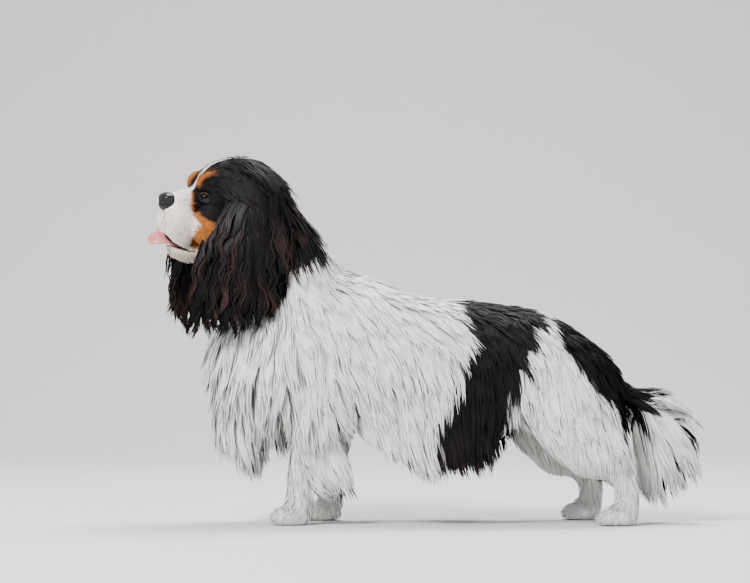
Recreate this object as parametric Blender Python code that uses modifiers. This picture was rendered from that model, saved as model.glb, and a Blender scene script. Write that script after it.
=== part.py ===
# Cavalier King Charles spaniel, standing, as a still life-size model.
# There is one solid for each part a person would name.
# The drawing is in millimetres of a dog DRAWN_HEIGHT high at the withers, and MM turns it into metres.
# The head points towards -X, the dog's left side faces -Y, and the feet stand on Z 0.

import math
import random

import bmesh
import bpy
import numpy as np
from mathutils import Matrix, Vector
from mathutils.bvhtree import BVHTree

# Driving dimensions
WITHERS_HEIGHT = 0.310  # metres, coat included
DRAWN_HEIGHT = 310.0
MM = WITHERS_HEIGHT / DRAWN_HEIGHT
GAP = 0.3  # clear space between two nodes that touch
SHARPEST = 0.12  # how far the growth of a sharp edge is carried
SCRAP = 0.02  # faces smaller than this don't steer the growth
NEARLY_ONE = 0.01  # points closer than this are one
SLIVER = 0.001  # a triangle lower than this is a fault
FLAT_ANGLE = math.radians(0.6)
BALL_DIGITS = 5
FLOOR_REACH = 900.0  # size of the block that levels the soles

# Pose of the head, about the middle of the skull
SKULL_CENTRE = (-227.0, -6.0, 387.0)
HEAD_TURN = math.radians(22.5)  # towards the dog's left
HEAD_ROLL = math.radians(6.0)  # crown towards the dog's left

# Mesh fineness
BODY_VOXEL = 3.0
BODY_SMOOTHING = 10
BODY_SHARE = 0.027  # of the remeshed faces that the solids keep

# Trunk, neck and tail: x, y, z of the line, half width, depth above or behind it, depth below or before it
TRUNK = [
    (-250, 0, 192, 26, 26, 40),
    (-232, 0, 198, 46, 44, 66),
    (-190, 0, 204, 64, 64, 82),
    (-135, 0, 206, 72, 82, 84),
    (-90, 0, 206, 75, 94, 84),
    (-40, 0, 200, 76, 79, 84),
    (20, 0, 195, 74, 74, 79),
    (80, 0, 190, 70, 73, 68),
    (130, 0, 184, 67, 70, 56),
    (175, 0, 174, 61, 52, 52),
    (208, 0, 160, 46, 36, 46),
    (230, 0, 148, 24, 14, 30),
]
NECK = [
    (-135, 0, 225, 62, -70, -62),
    (-158, -1, 280, 57, -62, -58),
    (-184, -3, 325, 50, -56, -52),
    (-208, -5, 368, 45, -46, -44),
    (-222, -6, 392, 36, -30, -30),
]
TAIL = [
    (214, 0, 160, 17, 17, 17),
    (240, 0, 150, 15, 14, 14),
    (268, 0, 136, 12, 11, 11),
    (292, 0, 116, 9, 9, 9),
    (308, 0, 92, 7, 7, 7),
    (314, 0, 76, 3, 3, 3),
]

# Legs: x, y, z down the middle, half width, depth behind, depth before
FORELEG = [
    (-118, 44, 205, 18, 34, 34),
    (-124, 49, 160, 21, 30, 30),
    (-138, 48, 120, 18, 23, 22),
    (-149, 47, 84, 15, 17, 15),
    (-153, 46, 52, 13.5, 15, 13),
    (-154, 46, 28, 14, 16, 15),
    (-157, 46, 8, 15, 17, 16),
]
FORE_FOOT = ((-163, 46, 9), (25, 19, 15))
HINDLEG = [
    (140, 38, 190, 26, 50, 46),
    (158, 45, 150, 30, 52, 50),
    (172, 51, 116, 27, 46, 44),
    (196, 55, 88, 20, 32, 34),
    (222, 57, 68, 15, 21, 22),
    (234, 57, 46, 13, 15, 15),
    (233, 57, 24, 13, 16, 15),
    (229, 57, 8, 14, 17, 16),
]
HIND_FOOT = ((222, 57, 9), (25, 18, 14))
RIGHT_FORE_SHIFT = 36.0  # the right foreleg stands this much further back
RIGHT_HIND_SHIFT = -34.0  # the right hind leg stands this much further forward
SHIFT_TOP = 175.0  # height where a leg's shift starts
STRAIGHT_BELOW = 95.0  # height below which the whole shift is used

# Head, from the skull's middle: forward, left, up
SKULL = ((0, 0, 0), (59, 50, 53))
BROW = ((40, 17, 19), (19, 17, 14))
ORBIT = ((33, 23, 0), (22, 19, 21))
CHEEK = ((32, 27, -30), (34, 19, 32))
FLEW = ((75, 12.5, -31), (23, 14.5, 26))
BRIDGE = [
    (38, 0, 4, 22, 12, 30),
    (58, 0, 1, 17, 12, 30),
    (76, 0, -2, 15, 11, 28),
    (90, 0, -9, 11, 7, 18),
    (95, 0, -13, 8, 4, 12),
]
JAW = [
    (8, 0, -46, 26, 20, 24),
    (34, 0, -58, 23, 16, 17),
    (58, 0, -64, 18, 14, 13),
    (74, 0, -63, 15, 12, 10),
    (84, 0, -59, 11, 8, 7),
    (89, 0, -57, 5, 4, 4),
]
NOSE = ((88.5, 0, -4.3), (10, 13.5, 11.5))
NOSTRIL = ((97.5, 5.4, -4.8), (5.5, 2.9, 4.0))
NOSTRIL_SLIT = ((93.5, 10.5, -8.3), (6, 4.0, 1.8))
EYE_CENTRE = (44.5, 25.0, 2.5)
EYE_RADIUS = 11.5
EYE_TURN = math.radians(40.0)  # how far each eye looks outwards
LID_RING = (8.9, 2.6)  # ring radius and tube radius of the lids
LID_REACH = 8.2  # how far in front of the eye's middle the lids sit
LID_HEIGHT = 0.80  # the opening's height over its width
MOUTH = [(58, -62), (74, -57.5), (86, -51), (101, -36), (120, -24), (120, -57), (90, -57), (72, -63)]
JAW_REGION = [(58, -62.3), (74, -60), (92, -54.5), (120, -54.5), (120, -160), (58, -160)]
MOUTH_HALF_WIDTH = 60.0
PHILTRUM = ((102, 0, -27), (7, 1.2, 12))
TONGUE = [
    (60, 0, -59, 9, 2.4, 2.4),
    (75, 0, -52, 12, 2.8, 2.8),
    (89, 0, -45.5, 13.5, 3.2, 3.2),
    (101, 0, -44.5, 12.5, 3.2, 3.2),
    (109, 0, -48, 7, 2.4, 2.4),
]
TONGUE_ROLL = math.radians(-26.0)  # its left edge hangs lower

# Cores of the long coat, about half way to the tips: centre and radii.
# The fringe and the breeches are on both sides
BIB = ((-222, 0, 142), (30, 42, 48))
SIDE_FRINGE = ((5, 52, 122), (92, 18, 36))
LEFT_FEATHER = ((-126, 46, 84), (26, 12, 46))
RIGHT_FEATHER = ((-112, 46, 84), (16, 12, 46))
RIGHT_FEATHER_SHARE = 0.55  # length of the right foreleg's locks over the left one's
BREECHES = ((200, 49, 116), (32, 19, 42))
PLUME = ((272, 0, 116), (32, 13, 30))

# Outlines in XZ that part the nodes, each pushed through the body from side to side
HEAD_CUT = [(-400, 189), (-100, 414), (-100, 520), (-400, 520)]
NECK_CUT = [(-330, 202), (-90, 312), (-90, 420), (-330, 420)]
TAIL_CUT = [(238, -50), (224, 128), (262, 200), (380, 200), (380, -50)]
TAIL_HALF_WIDTH = 30.0
FORELEG_CUT = [(-196, -50), (-196, 124), (-84, 124), (-84, -50)]
FORELEG_INNER = 27.0
CHEST_CUT = [(-400, -50), (-140, -50), (-140, 420), (-400, 420)]
HINDLEG_CUT = [(96, -50), (96, 122), (264, 187), (264, -50)]
REACH = 300.0

# Ears: a sheet from the base down, as x, y, z of its middle, reach behind, reach before,
# and how far the edges curl in
EAR_LEFT = [
    (-204, -42, 414, 20, 16, 3),
    (-206, -54, 398, 31, 26, 8),
    (-209, -64, 370, 40, 33, 12),
    (-214, -69, 335, 44, 52, 13),
    (-219, -70, 305, 36, 54, 10),
    (-222, -70, 282, 22, 24, 6),
]
EAR_RIGHT = [
    (-238, 34, 414, 20, 16, 3),
    (-241, 46, 398, 31, 28, 8),
    (-245, 56, 370, 40, 38, 12),
    (-251, 62, 335, 44, 52, 13),
    (-256, 63, 305, 36, 50, 10),
    (-258, 62, 282, 22, 30, 6),
]
EAR_THICKNESS = 9.0
EAR_COLUMNS = 8

SHARP_ANGLE = math.radians(50)

# Rows of locks. A row starts at evenly spaced places between two points, cast on to the node along a
# direction, and runs along its lie: node, from, to, count, cast, lie, length, width, layer
LOCK_SEED = 21
LOCK_SOLVER = "MANIFOLD"
ATTEMPTS = 20
CUT_GAP = 0.42  # clear space that a lock keeps from other nodes, and how much more each new draw gives it
CUT_STEP = 0.06
REDRAWS = 6  # how often one lock is drawn again until it is clear
REDRAW_SHRINK = 0.08
REDRAW_LIFT = 1.5
LOCK_STEPS = 3
LOCK_THICKNESS = 3.6
LOCK_LIFT = 2.6
LAYER_STEP = 3.9
ALTERNATE_LIFT = 1.9
ROOT_DEPTH = 4.5
LENGTH_SPREAD = 0.13
LOCK_SAG = 0.25
LOCK_WAVE = 0.14
LOCK_TURNS = 0.8  # waves along one lock
LOCK_SWAY = 0.05
LOCK_PROFILE = (0.72, 0.9, -1.15)  # half width at the root, and what it gains along the lock and its square
LOCK_THINNING = 0.45
PLACE_SPREAD = 0.22  # of the space between two roots
WIDTH_SPREAD = 0.15
FLOOR_CLEARANCE = 1.2
SIDE = 150.0
LOCK_ROWS = [
    ("chest", (-350, -34, 200), (-350, 34, 200), 3, "+x", (-0.5, 0, -1), 68, 27, 3),
    ("chest", (-350, -38, 172), (-350, 38, 172), 4, "+x", (-0.4, 0, -1), 66, 26, 2),
    ("chest", (-350, -34, 144), (-350, 34, 144), 3, "+x", (-0.25, 0, -1), 64, 26, 1),
    ("chest", (-350, -26, 118), (-350, 26, 118), 3, "+x", (0.0, 0, -1), 62, 23, 0),
    ("chest", (-222, -24, 40), (-222, 24, 40), 2, "+z", (0.25, 0, -1), 48, 24, 0),
    ("chest", (-204, -28, 40), (-204, 28, 40), 2, "+z", (0.25, 0, -1), 52, 24, 0),
    ("chest", (-248, SIDE, 178), (-192, SIDE, 178), 2, "y", (-0.15, 0, -1), 72, 28, 1),
    ("chest", (-246, SIDE, 138), (-202, SIDE, 138), 2, "y", (0.0, 0, -1), 64, 26, 0),
    ("torso", (-98, SIDE, 186), (96, SIDE, 174), 5, "y", (0.35, 0, -1), 80, 36, 2),
    ("torso", (-88, SIDE, 146), (100, SIDE, 142), 5, "y", (0.3, 0, -1), 72, 35, 1),
    ("torso", (-80, SIDE, 112), (94, SIDE, 110), 6, "y", (0.2, 0, -1), 60, 29, 0),
    ("torso", (-58, 34, 40), (80, 34, 40), 2, "+z", (0.3, 0, -1), 34, 30, 0),
    ("neck", (-350, -26, 262), (-350, 26, 262), 3, "+x", (-0.3, 0, -1), 44, 26, 0),
    ("foreleg", (-40, 34, 106), (-40, 60, 106), 2, "-x", (0.5, 0, -1), 60, 18, 2),
    ("foreleg", (-40, 36, 78), (-40, 58, 78), 2, "-x", (0.5, 0, -1), 54, 17, 1),
    ("foreleg", (-40, 38, 50), (-40, 56, 50), 2, "-x", (0.5, 0, -1), 40, 16, 0),
    ("foreleg", (-146, SIDE, 88), (-108, SIDE, 70), 2, "y", (0.3, 0, -1), 46, 18, 0),
    ("hindleg", (320, 36, 150), (320, 64, 150), 2, "-x", (0.35, 0, -1), 54, 21, 2),
    ("hindleg", (320, 38, 122), (320, 64, 122), 2, "-x", (0.3, 0, -1), 52, 20, 1),
    ("hindleg", (320, 42, 92), (320, 62, 92), 2, "-x", (0.15, 0, -1), 44, 17, 0),
    ("hindleg", (118, 26, 20), (150, 30, 20), 2, "+z", (0.5, 0, -1), 28, 20, 0),
    ("hindleg", (196, SIDE, 146), (226, SIDE, 132), 2, "y", (0.35, 0, -1), 62, 23, 1),
    ("hindleg", (190, SIDE, 110), (226, SIDE, 104), 2, "y", (0.25, 0, -1), 48, 21, 0),
    ("tail", (252, -SIDE, 148), (302, -SIDE, 112), 4, "+y", (0.55, 0, -1), 64, 22, 1),
    ("tail", (252, SIDE, 148), (302, SIDE, 112), 4, "-y", (0.55, 0, -1), 64, 22, 1),
    ("tail", (252, -SIDE, 122), (296, -SIDE, 98), 3, "+y", (0.25, 0, -1), 66, 23, 0),
    ("tail", (252, SIDE, 122), (296, SIDE, 98), 3, "-y", (0.25, 0, -1), 66, 23, 0),
    ("tail", (258, 0, 20), (296, 0, 20), 3, "+z", (0.15, 0, -1), 56, 22, 0),
    ("tail", (262, 0, 220), (306, 0, 220), 3, "-z", (1, 0, -0.25), 40, 18, 0),
    ("ear_left", (-220, -SIDE, 402), (-190, -SIDE, 400), 2, "+y", (-0.2, 0, -1), 80, 27, 3),
    ("ear_left", (-236, -SIDE, 374), (-174, -SIDE, 372), 3, "+y", (-0.14, 0, -1), 88, 27, 2),
    ("ear_left", (-262, -SIDE, 342), (-176, -SIDE, 342), 4, "+y", (-0.16, 0, -1), 90, 26, 1),
    ("ear_left", (-268, -SIDE, 312), (-188, -SIDE, 312), 4, "+y", (-0.1, 0, -1), 80, 25, 0),
    ("ear_left", (-250, 0, 324), (-192, 0, 324), 3, "-y", (-0.05, 0, -1), 80, 26, 0),
    ("ear_right", (-254, SIDE, 402), (-224, SIDE, 400), 2, "-y", (-0.25, 0, -1), 80, 27, 3),
    ("ear_right", (-272, SIDE, 374), (-210, SIDE, 372), 3, "-y", (-0.22, 0, -1), 88, 27, 2),
    ("ear_right", (-290, SIDE, 342), (-212, SIDE, 342), 4, "-y", (-0.2, 0, -1), 82, 26, 1),
    ("ear_right", (-294, SIDE, 312), (-226, SIDE, 312), 4, "-y", (-0.12, 0, -1), 64, 25, 0),
    ("ear_right", (-290, 0, 324), (-232, 0, 324), 3, "+y", (-0.1, 0, -1), 68, 26, 0),
]

# Colour and roughness of each finish, and the nodes that have it
LOOKS = {
    "coat_white": ((0.86, 0.84, 0.80, 1), 0.75),
    "coat_black": ((0.025, 0.022, 0.022, 1), 0.55),
    "coat_face": ((0.60, 0.42, 0.30, 1), 0.75),
    "nose_leather": ((0.05, 0.05, 0.06, 1), 0.35),
    "tongue_pink": ((0.85, 0.42, 0.45, 1), 0.40),
    "eye_brown": ((0.03, 0.015, 0.01, 1), 0.05),
}
SLOTS = {
    "torso": "coat_white",
    "chest": "coat_white",
    "neck": "coat_black",
    "head": "coat_face",
    "lower_jaw": "coat_white",
    "nose": "nose_leather",
    "tongue": "tongue_pink",
    "eye_left": "eye_brown",
    "eye_right": "eye_brown",
    "ear_left": "coat_black",
    "ear_right": "coat_black",
    "foreleg_left": "coat_white",
    "foreleg_right": "coat_white",
    "hindleg_left": "coat_white",
    "hindleg_right": "coat_white",
    "tail": "coat_white",
}


def material(name, look):
    colour, roughness = look
    made = bpy.data.materials.new(name)
    made.use_nodes = True
    shader = made.node_tree.nodes["Principled BSDF"]
    shader.inputs["Base Color"].default_value = colour
    shader.inputs["Roughness"].default_value = roughness
    shader.inputs["Metallic"].default_value = 0.0
    return made


def add_object(name, mesh, collection=None):
    made = bpy.data.objects.new(name, mesh)
    (collection or bpy.context.scene.collection).objects.link(made)
    return made


def from_bmesh(name, work, matrix=None, collection=None):
    if matrix is not None:
        bmesh.ops.transform(work, matrix=matrix, verts=work.verts)
    bmesh.ops.scale(work, vec=(MM, MM, MM), verts=work.verts)
    bmesh.ops.recalc_face_normals(work, faces=work.faces)
    mesh = bpy.data.meshes.new(name)
    work.to_mesh(mesh)
    work.free()
    return add_object(name, mesh, collection)


# Catmull-Rom through the stations, so that a few of them give a smooth line
def smooth_through(stations, steps):
    rows = np.array(stations, float)
    padded = np.vstack([2 * rows[0] - rows[1], rows, 2 * rows[-1] - rows[-2]])
    found = []
    for i in range(1, len(padded) - 2):
        a, b, c, d = padded[i - 1 : i + 3]
        bend = 2 * a - 5 * b + 4 * c - d
        twist = 3 * b - a - 3 * c + d
        for t in np.arange(steps) / steps:
            found.append((2 * b + (c - a) * t + bend * t**2 + twist * t**3) / 2)
    return np.array(found + [rows[-1]])


# Rings of unlike size along a line in an XZ plane, joined into one closed skin
def loft(name, stations, sides=24, steps=4, square=2.0, matrix=None):
    rows = smooth_through(stations, steps)
    tangents = np.gradient(rows[:, :3], axis=0)
    tangents[:, 1] = 0
    tangents /= np.linalg.norm(tangents, axis=1, keepdims=True)
    normals = np.cross(tangents, (0, 1, 0))
    work = bmesh.new()
    rings = []
    for row, normal in zip(rows, normals):
        ring = []
        for k in range(sides):
            angle = 2 * math.pi * k / sides
            across = math.copysign(abs(math.cos(angle)) ** (2 / square), math.cos(angle))
            along = math.copysign(abs(math.sin(angle)) ** (2 / square), math.sin(angle))
            depth = abs(row[4] if along > 0 else row[5]) * (-1 if row[4] < 0 else 1)
            place = row[:3] + np.array((0, 1, 0)) * across * row[3] + normal * along * depth
            ring.append(work.verts.new(place))
        rings.append(ring)
    for before, after in zip(rings, rings[1:]):
        for k in range(sides):
            work.faces.new((before[k], before[k - 1], after[k - 1], after[k]))
    work.faces.new(rings[0])
    work.faces.new(reversed(rings[-1]))
    return from_bmesh(name, work, matrix)


# A ball of radius one. The tool gives its faces in an order that varies, so they are put in a fixed one
def ball(segments, rings):
    work = bmesh.new()
    bmesh.ops.create_uvsphere(work, u_segments=segments, v_segments=rings, radius=1.0)
    corners = sorted(vertex.co.to_tuple(BALL_DIGITS) for vertex in work.verts)
    place = {corner: k for k, corner in enumerate(corners)}
    faces = []
    for face in work.faces:
        ring = [place[vertex.co.to_tuple(BALL_DIGITS)] for vertex in face.verts]
        first = ring.index(min(ring))
        faces.append(ring[first:] + ring[:first])
    work.free()
    mesh = bpy.data.meshes.new("ball")
    mesh.from_pydata(corners, [], sorted(faces))
    fixed = bmesh.new()
    fixed.from_mesh(mesh)
    bpy.data.meshes.remove(mesh)
    return fixed


def ellipsoid(name, centre, radii, matrix=None, segments=24, rings=14):
    work = ball(segments, rings)
    bmesh.ops.scale(work, vec=radii, verts=work.verts)
    bmesh.ops.translate(work, vec=centre, verts=work.verts)
    return from_bmesh(name, work, matrix)


def box(name, low, high):
    work = bmesh.new()
    bmesh.ops.create_cube(work, size=1.0)
    size = [b - a for a, b in zip(low, high)]
    middle = [(a + b) / 2 for a, b in zip(low, high)]
    bmesh.ops.scale(work, vec=size, verts=work.verts)
    bmesh.ops.translate(work, vec=middle, verts=work.verts)
    return from_bmesh(name, work)


# An outline with every edge moved outwards by the same amount
def offset_outline(outline, by):
    points = [Vector(p) for p in outline]
    turn = sum(a.x * b.y - b.x * a.y for a, b in zip(points, points[1:] + points[:1]))
    sign = 1 if turn > 0 else -1
    moved = []
    for k, corner in enumerate(points):
        before = (corner - points[k - 1]).normalized()
        after = (points[(k + 1) % len(points)] - corner).normalized()
        out_before = Vector((before.y, -before.x)) * sign
        out_after = Vector((after.y, -after.x)) * sign
        half = (out_before + out_after).normalized()
        moved.append(corner + half * by / half.dot(out_before))
    return moved


# An outline in XZ pushed through from one Y to another
def prism(name, outline, low_y, high_y, by=0.0, matrix=None):
    work = bmesh.new()
    walls = []
    for y in (low_y - by, high_y + by):
        walls.append([work.verts.new((x, y, z)) for x, z in offset_outline(outline, by)])
    work.faces.new(walls[0])
    work.faces.new(reversed(walls[1]))
    for k in range(len(outline)):
        work.faces.new((walls[0][k], walls[0][k - 1], walls[1][k - 1], walls[1][k]))
    return from_bmesh(name, work, matrix)


def head_matrix():
    forward = Vector((-math.cos(HEAD_TURN), -math.sin(HEAD_TURN), 0))
    left = Vector((math.sin(HEAD_TURN), -math.cos(HEAD_TURN), 0))
    roll = Matrix.Rotation(HEAD_ROLL, 3, forward)
    left, up = roll @ left, roll @ Vector((0, 0, 1))
    if up.dot(Vector((0, -1, 0))) < 0:
        roll = Matrix.Rotation(-HEAD_ROLL, 3, forward)
        left = roll @ Vector((math.sin(HEAD_TURN), -math.cos(HEAD_TURN), 0))
        up = roll @ Vector((0, 0, 1))
    return Matrix.Translation(SKULL_CENTRE) @ Matrix((forward, left, up)).transposed().to_4x4()


HEAD = head_matrix()


def applied(obj):
    graph = bpy.context.evaluated_depsgraph_get()
    mesh = bpy.data.meshes.new_from_object(obj.evaluated_get(graph))
    old = obj.data
    obj.modifiers.clear()
    obj.data = mesh
    bpy.data.meshes.remove(old)
    return obj


def removed(*objects):
    for obj in objects:
        mesh = obj.data
        bpy.data.objects.remove(obj)
        bpy.data.meshes.remove(mesh)


def copied(obj, name):
    return add_object(name, obj.data.copy())


def boolean(obj, cutter, operation, solver="MANIFOLD"):
    modifier = obj.modifiers.new(operation.title(), "BOOLEAN")
    modifier.operation = operation
    modifier.object = cutter
    modifier.solver = solver
    return applied(obj)


# Keeps the largest closed surface, which drops loose scraps and sealed hollows
def keep_largest(obj):
    work = bmesh.new()
    work.from_mesh(obj.data)
    left = set(work.faces)
    groups = []
    while left:
        stack = [left.pop()]
        group = []
        while stack:
            face = stack.pop()
            group.append(face)
            for edge in face.edges:
                joined = edge.link_faces if len(edge.link_faces) == 2 else ()
                for other in joined:
                    if other in left:
                        left.remove(other)
                        stack.append(other)
        groups.append(group)
    groups.sort(key=lambda g: -sum(f.calc_area() for f in g))
    spare = [face for group in groups[1:] for face in group]
    bmesh.ops.delete(work, geom=spare, context="FACES")
    loose = [v for v in work.verts if not v.link_faces]
    bmesh.ops.delete(work, geom=loose, context="VERTS")
    work.to_mesh(obj.data)
    work.free()
    return obj


# The same shape fatter, every face moved out by at least the gap, to cut a neighbour clear of it
def grown(obj, by=GAP):
    work = bmesh.new()
    work.from_mesh(obj.data)
    work.normal_update()
    moves = []
    for vertex in work.verts:
        real = [face.normal for face in vertex.link_faces if face.calc_area() > SCRAP * MM**2]
        outward = sum(real, Vector()).normalized() if real else vertex.normal
        least = min((outward.dot(normal) for normal in real), default=1.0)
        moves.append(outward * by * MM / max(least, SHARPEST))
    for vertex, move in zip(work.verts, moves):
        vertex.co += move
    fat = copied(obj, obj.name + "_grown")
    work.to_mesh(fat.data)
    work.free()
    return fat


def cut_clear(obj, *others, by=GAP):
    for other in others:
        fat = grown(other, by)
        boolean(obj, fat, "DIFFERENCE")
        removed(fat)
    return keep_largest(obj)


# Height of a triangle over its longest side
def height_of(face):
    longest = max(edge.calc_length() for edge in face.edges)
    return 2 * face.calc_area() / longest if longest else 0.0


# Points that nearly meet become one and flat slivers are turned away. The answer is how many faults
# are left, or None where the surface isn't closed
def faults_of(obj):
    work = bmesh.new()
    work.from_mesh(obj.data)
    bmesh.ops.remove_doubles(work, verts=work.verts, dist=NEARLY_ONE * MM)
    bmesh.ops.dissolve_degenerate(work, edges=work.edges, dist=NEARLY_ONE * MM)
    bmesh.ops.triangulate(work, faces=[f for f in work.faces if len(f.verts) > 3])
    flat = [e for e in work.edges if len(e.link_faces) == 2 and e.calc_face_angle(1.0) < FLAT_ANGLE]
    bmesh.ops.beautify_fill(work, faces=work.faces, edges=flat, method="ANGLE")
    closed = all(len(edge.link_faces) == 2 for edge in work.edges)
    slivers = sum(height_of(face) < SLIVER * MM for face in work.faces)
    if closed:
        work.to_mesh(obj.data)
        keep_largest(obj)
    work.free()
    return slivers if closed else None


# Closed forms that overlap become one smooth skin
def fused(name, pieces, voxel, smoothing, share):
    meshes = bmesh.new()
    for piece in pieces:
        meshes.from_mesh(piece.data)
    mesh = bpy.data.meshes.new(name)
    meshes.to_mesh(mesh)
    meshes.free()
    removed(*pieces)
    made = add_object(name, mesh)
    remesh = made.modifiers.new("Remesh", "REMESH")
    remesh.mode = "VOXEL"
    remesh.voxel_size = voxel * MM
    remesh.adaptivity = 0.0
    ease = made.modifiers.new("Smooth", "SMOOTH")
    ease.factor = 0.5
    ease.iterations = smoothing
    applied(made)
    fewer = made.modifiers.new("Decimate", "DECIMATE")
    fewer.ratio = share
    fewer.use_collapse_triangulate = True
    return applied(made)


def sided(spec, side):
    centre, radii = spec
    return (centre[0], centre[1] * side, centre[2]), radii


def moved(spec, shift):
    centre, radii = spec
    return (centre[0] + shift, centre[1], centre[2]), radii


def leg_stations(stations, side, shift):
    rows = []
    for x, y, z, half, behind, before in stations:
        share = max(0.0, min(1.0, (SHIFT_TOP - z) / (SHIFT_TOP - STRAIGHT_BELOW)))
        rows.append((x + shift * share, y * side, z, half, behind, before))
    return rows


def leg_forms(name, stations, foot, side, shift):
    centre, radii = foot
    centre = (centre[0] + shift, centre[1] * side, centre[2])
    return [
        loft(name, leg_stations(stations, side, shift), steps=3),
        ellipsoid(name + "_foot", centre, radii),
    ]


def body_forms():
    pieces = [
        loft("trunk", TRUNK, sides=32),
        loft("neck_form", NECK, sides=28),
        loft("tail_form", TAIL, sides=16),
        ellipsoid("skull", *SKULL, matrix=HEAD),
        loft("bridge", BRIDGE, matrix=HEAD, square=2.3),
        loft("jaw_form", JAW, matrix=HEAD, square=2.2),
    ]
    for side in (1, -1):
        for name, spec in (("brow", BROW), ("orbit", ORBIT), ("cheek", CHEEK), ("flew", FLEW)):
            pieces.append(ellipsoid(f"{name}_{side}", *sided(spec, side), matrix=HEAD))
    pieces += [ellipsoid("bib", *BIB), ellipsoid("plume", *PLUME)]
    pieces.append(ellipsoid("feather", *sided(LEFT_FEATHER, -1)))
    pieces.append(ellipsoid("feather", *sided(RIGHT_FEATHER, 1)))
    for side, fringe_shift, hind_shift in ((-1, 0, 0), (1, RIGHT_FORE_SHIFT / 2, RIGHT_HIND_SHIFT / 2)):
        for spec, shift in ((SIDE_FRINGE, fringe_shift), (BREECHES, hind_shift)):
            pieces.append(ellipsoid("coat", *moved(sided(spec, side), shift)))
    pieces += leg_forms("foreleg", FORELEG, FORE_FOOT, -1, 0)
    pieces += leg_forms("foreleg", FORELEG, FORE_FOOT, 1, RIGHT_FORE_SHIFT)
    pieces += leg_forms("hindleg", HINDLEG, HIND_FOOT, -1, 0)
    pieces += leg_forms("hindleg", HINDLEG, HIND_FOOT, 1, RIGHT_HIND_SHIFT)
    return pieces


# Takes the part of a body that lies in a prism, and leaves the rest with a thin gap
def part_off(rest, name, outline, low_y=-REACH, high_y=REACH):
    piece = copied(rest, name)
    inner = prism("cut", outline, low_y, high_y, -GAP / 2)
    outer = prism("cut", outline, low_y, high_y, GAP / 2)
    boolean(piece, inner, "INTERSECT")
    boolean(rest, outer, "DIFFERENCE")
    removed(inner, outer)
    return keep_largest(piece)


def moved_outline(outline, by):
    return [(x + by, z) for x, z in outline]


def parted_body():
    whole = fused("torso", body_forms(), BODY_VOXEL, BODY_SMOOTHING, BODY_SHARE)
    floor = box("floor", (-FLOOR_REACH, -FLOOR_REACH, -FLOOR_REACH), (FLOOR_REACH, FLOOR_REACH, 0))
    boolean(whole, floor, "DIFFERENCE")
    removed(floor)
    nodes = {
        "head": part_off(whole, "head", HEAD_CUT),
        "neck": part_off(whole, "neck", NECK_CUT),
        "tail": part_off(whole, "tail", TAIL_CUT, -TAIL_HALF_WIDTH, TAIL_HALF_WIDTH),
    }
    for word, side, shift in (("left", -1, 0.0), ("right", 1, RIGHT_FORE_SHIFT)):
        low, high = sorted((side * FORELEG_INNER, side * REACH))
        outline = moved_outline(FORELEG_CUT, shift)
        nodes["foreleg_" + word] = part_off(whole, "foreleg_" + word, outline, low, high)
        low, high = sorted((side * GAP / 2, side * REACH))
        nodes["hindleg_" + word] = part_off(whole, "hindleg_" + word, HINDLEG_CUT, low, high)
    nodes["chest"] = part_off(whole, "chest", CHEST_CUT)
    nodes["torso"] = keep_largest(whole)
    for obj in nodes.values():
        faults_of(obj)
    return nodes


def eye_matrix(side):
    turn = Matrix.Rotation(side * EYE_TURN, 4, "Z")
    centre = Vector((EYE_CENTRE[0], EYE_CENTRE[1] * side, EYE_CENTRE[2]))
    return HEAD @ Matrix.Translation(centre) @ turn


def lid_ring(side):
    ring, tube = LID_RING
    bpy.ops.mesh.primitive_torus_add(
        major_radius=ring, minor_radius=tube, major_segments=18, minor_segments=7
    )
    made = bpy.context.active_object
    made.name = f"lid_{side}"
    stand = Matrix.Rotation(math.pi / 2, 4, "Y")
    stretch = Matrix.Diagonal((1.0, 1.0, LID_HEIGHT, 1.0))
    place = eye_matrix(side) @ Matrix.Translation((LID_REACH, 0, 0)) @ stretch @ stand
    made.data.transform(Matrix.Scale(MM, 4) @ place)
    return made


def dressed_head(nodes):
    head = nodes["head"]
    for side in (1, -1):
        lid = lid_ring(side)
        boolean(head, lid, "UNION")
        removed(lid)
        hollow = (EYE_RADIUS + GAP,) * 3
        socket = ellipsoid("socket", (0, 0, 0), hollow, matrix=eye_matrix(side), segments=20, rings=12)
        boolean(head, socket, "DIFFERENCE")
        removed(socket)
        word = "left" if side == 1 else "right"
        nodes["eye_" + word] = ellipsoid(
            "eye_" + word, (0, 0, 0), (EYE_RADIUS,) * 3, matrix=eye_matrix(side), segments=12, rings=8
        )
    tongue_turn = HEAD @ Matrix.Translation((88, 0, -47)) @ Matrix.Rotation(TONGUE_ROLL, 4, "X")
    tongue_turn = tongue_turn @ Matrix.Translation((-88, 0, 47))
    tongue = loft("tongue", TONGUE, sides=12, steps=2, matrix=tongue_turn)
    nose = ellipsoid("nose", *NOSE, matrix=HEAD, segments=14, rings=10)
    jaw = copied(head, "lower_jaw")
    below = prism("below", JAW_REGION, -MOUTH_HALF_WIDTH, MOUTH_HALF_WIDTH, matrix=HEAD)
    wedge = prism("wedge", MOUTH, -MOUTH_HALF_WIDTH, MOUTH_HALF_WIDTH, matrix=HEAD)
    boolean(jaw, below, "INTERSECT")
    boolean(jaw, wedge, "DIFFERENCE")
    fat = prism("below", JAW_REGION, -MOUTH_HALF_WIDTH, MOUTH_HALF_WIDTH, GAP, HEAD)
    boolean(head, fat, "DIFFERENCE")
    groove = ellipsoid("groove", *PHILTRUM, matrix=HEAD)
    boolean(head, groove, "DIFFERENCE")
    removed(below, wedge, fat, groove)
    keep_largest(jaw)
    cut_clear(head, nose, tongue)
    cut_clear(jaw, tongue)
    for side in (1, -1):
        for spec in (NOSTRIL, NOSTRIL_SLIT):
            hole = ellipsoid("hole", *sided(spec, side), matrix=HEAD, segments=10, rings=6)
            boolean(nose, hole, "DIFFERENCE")
            removed(hole)
    nodes.update(lower_jaw=jaw, tongue=tongue, nose=keep_largest(nose))


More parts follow.
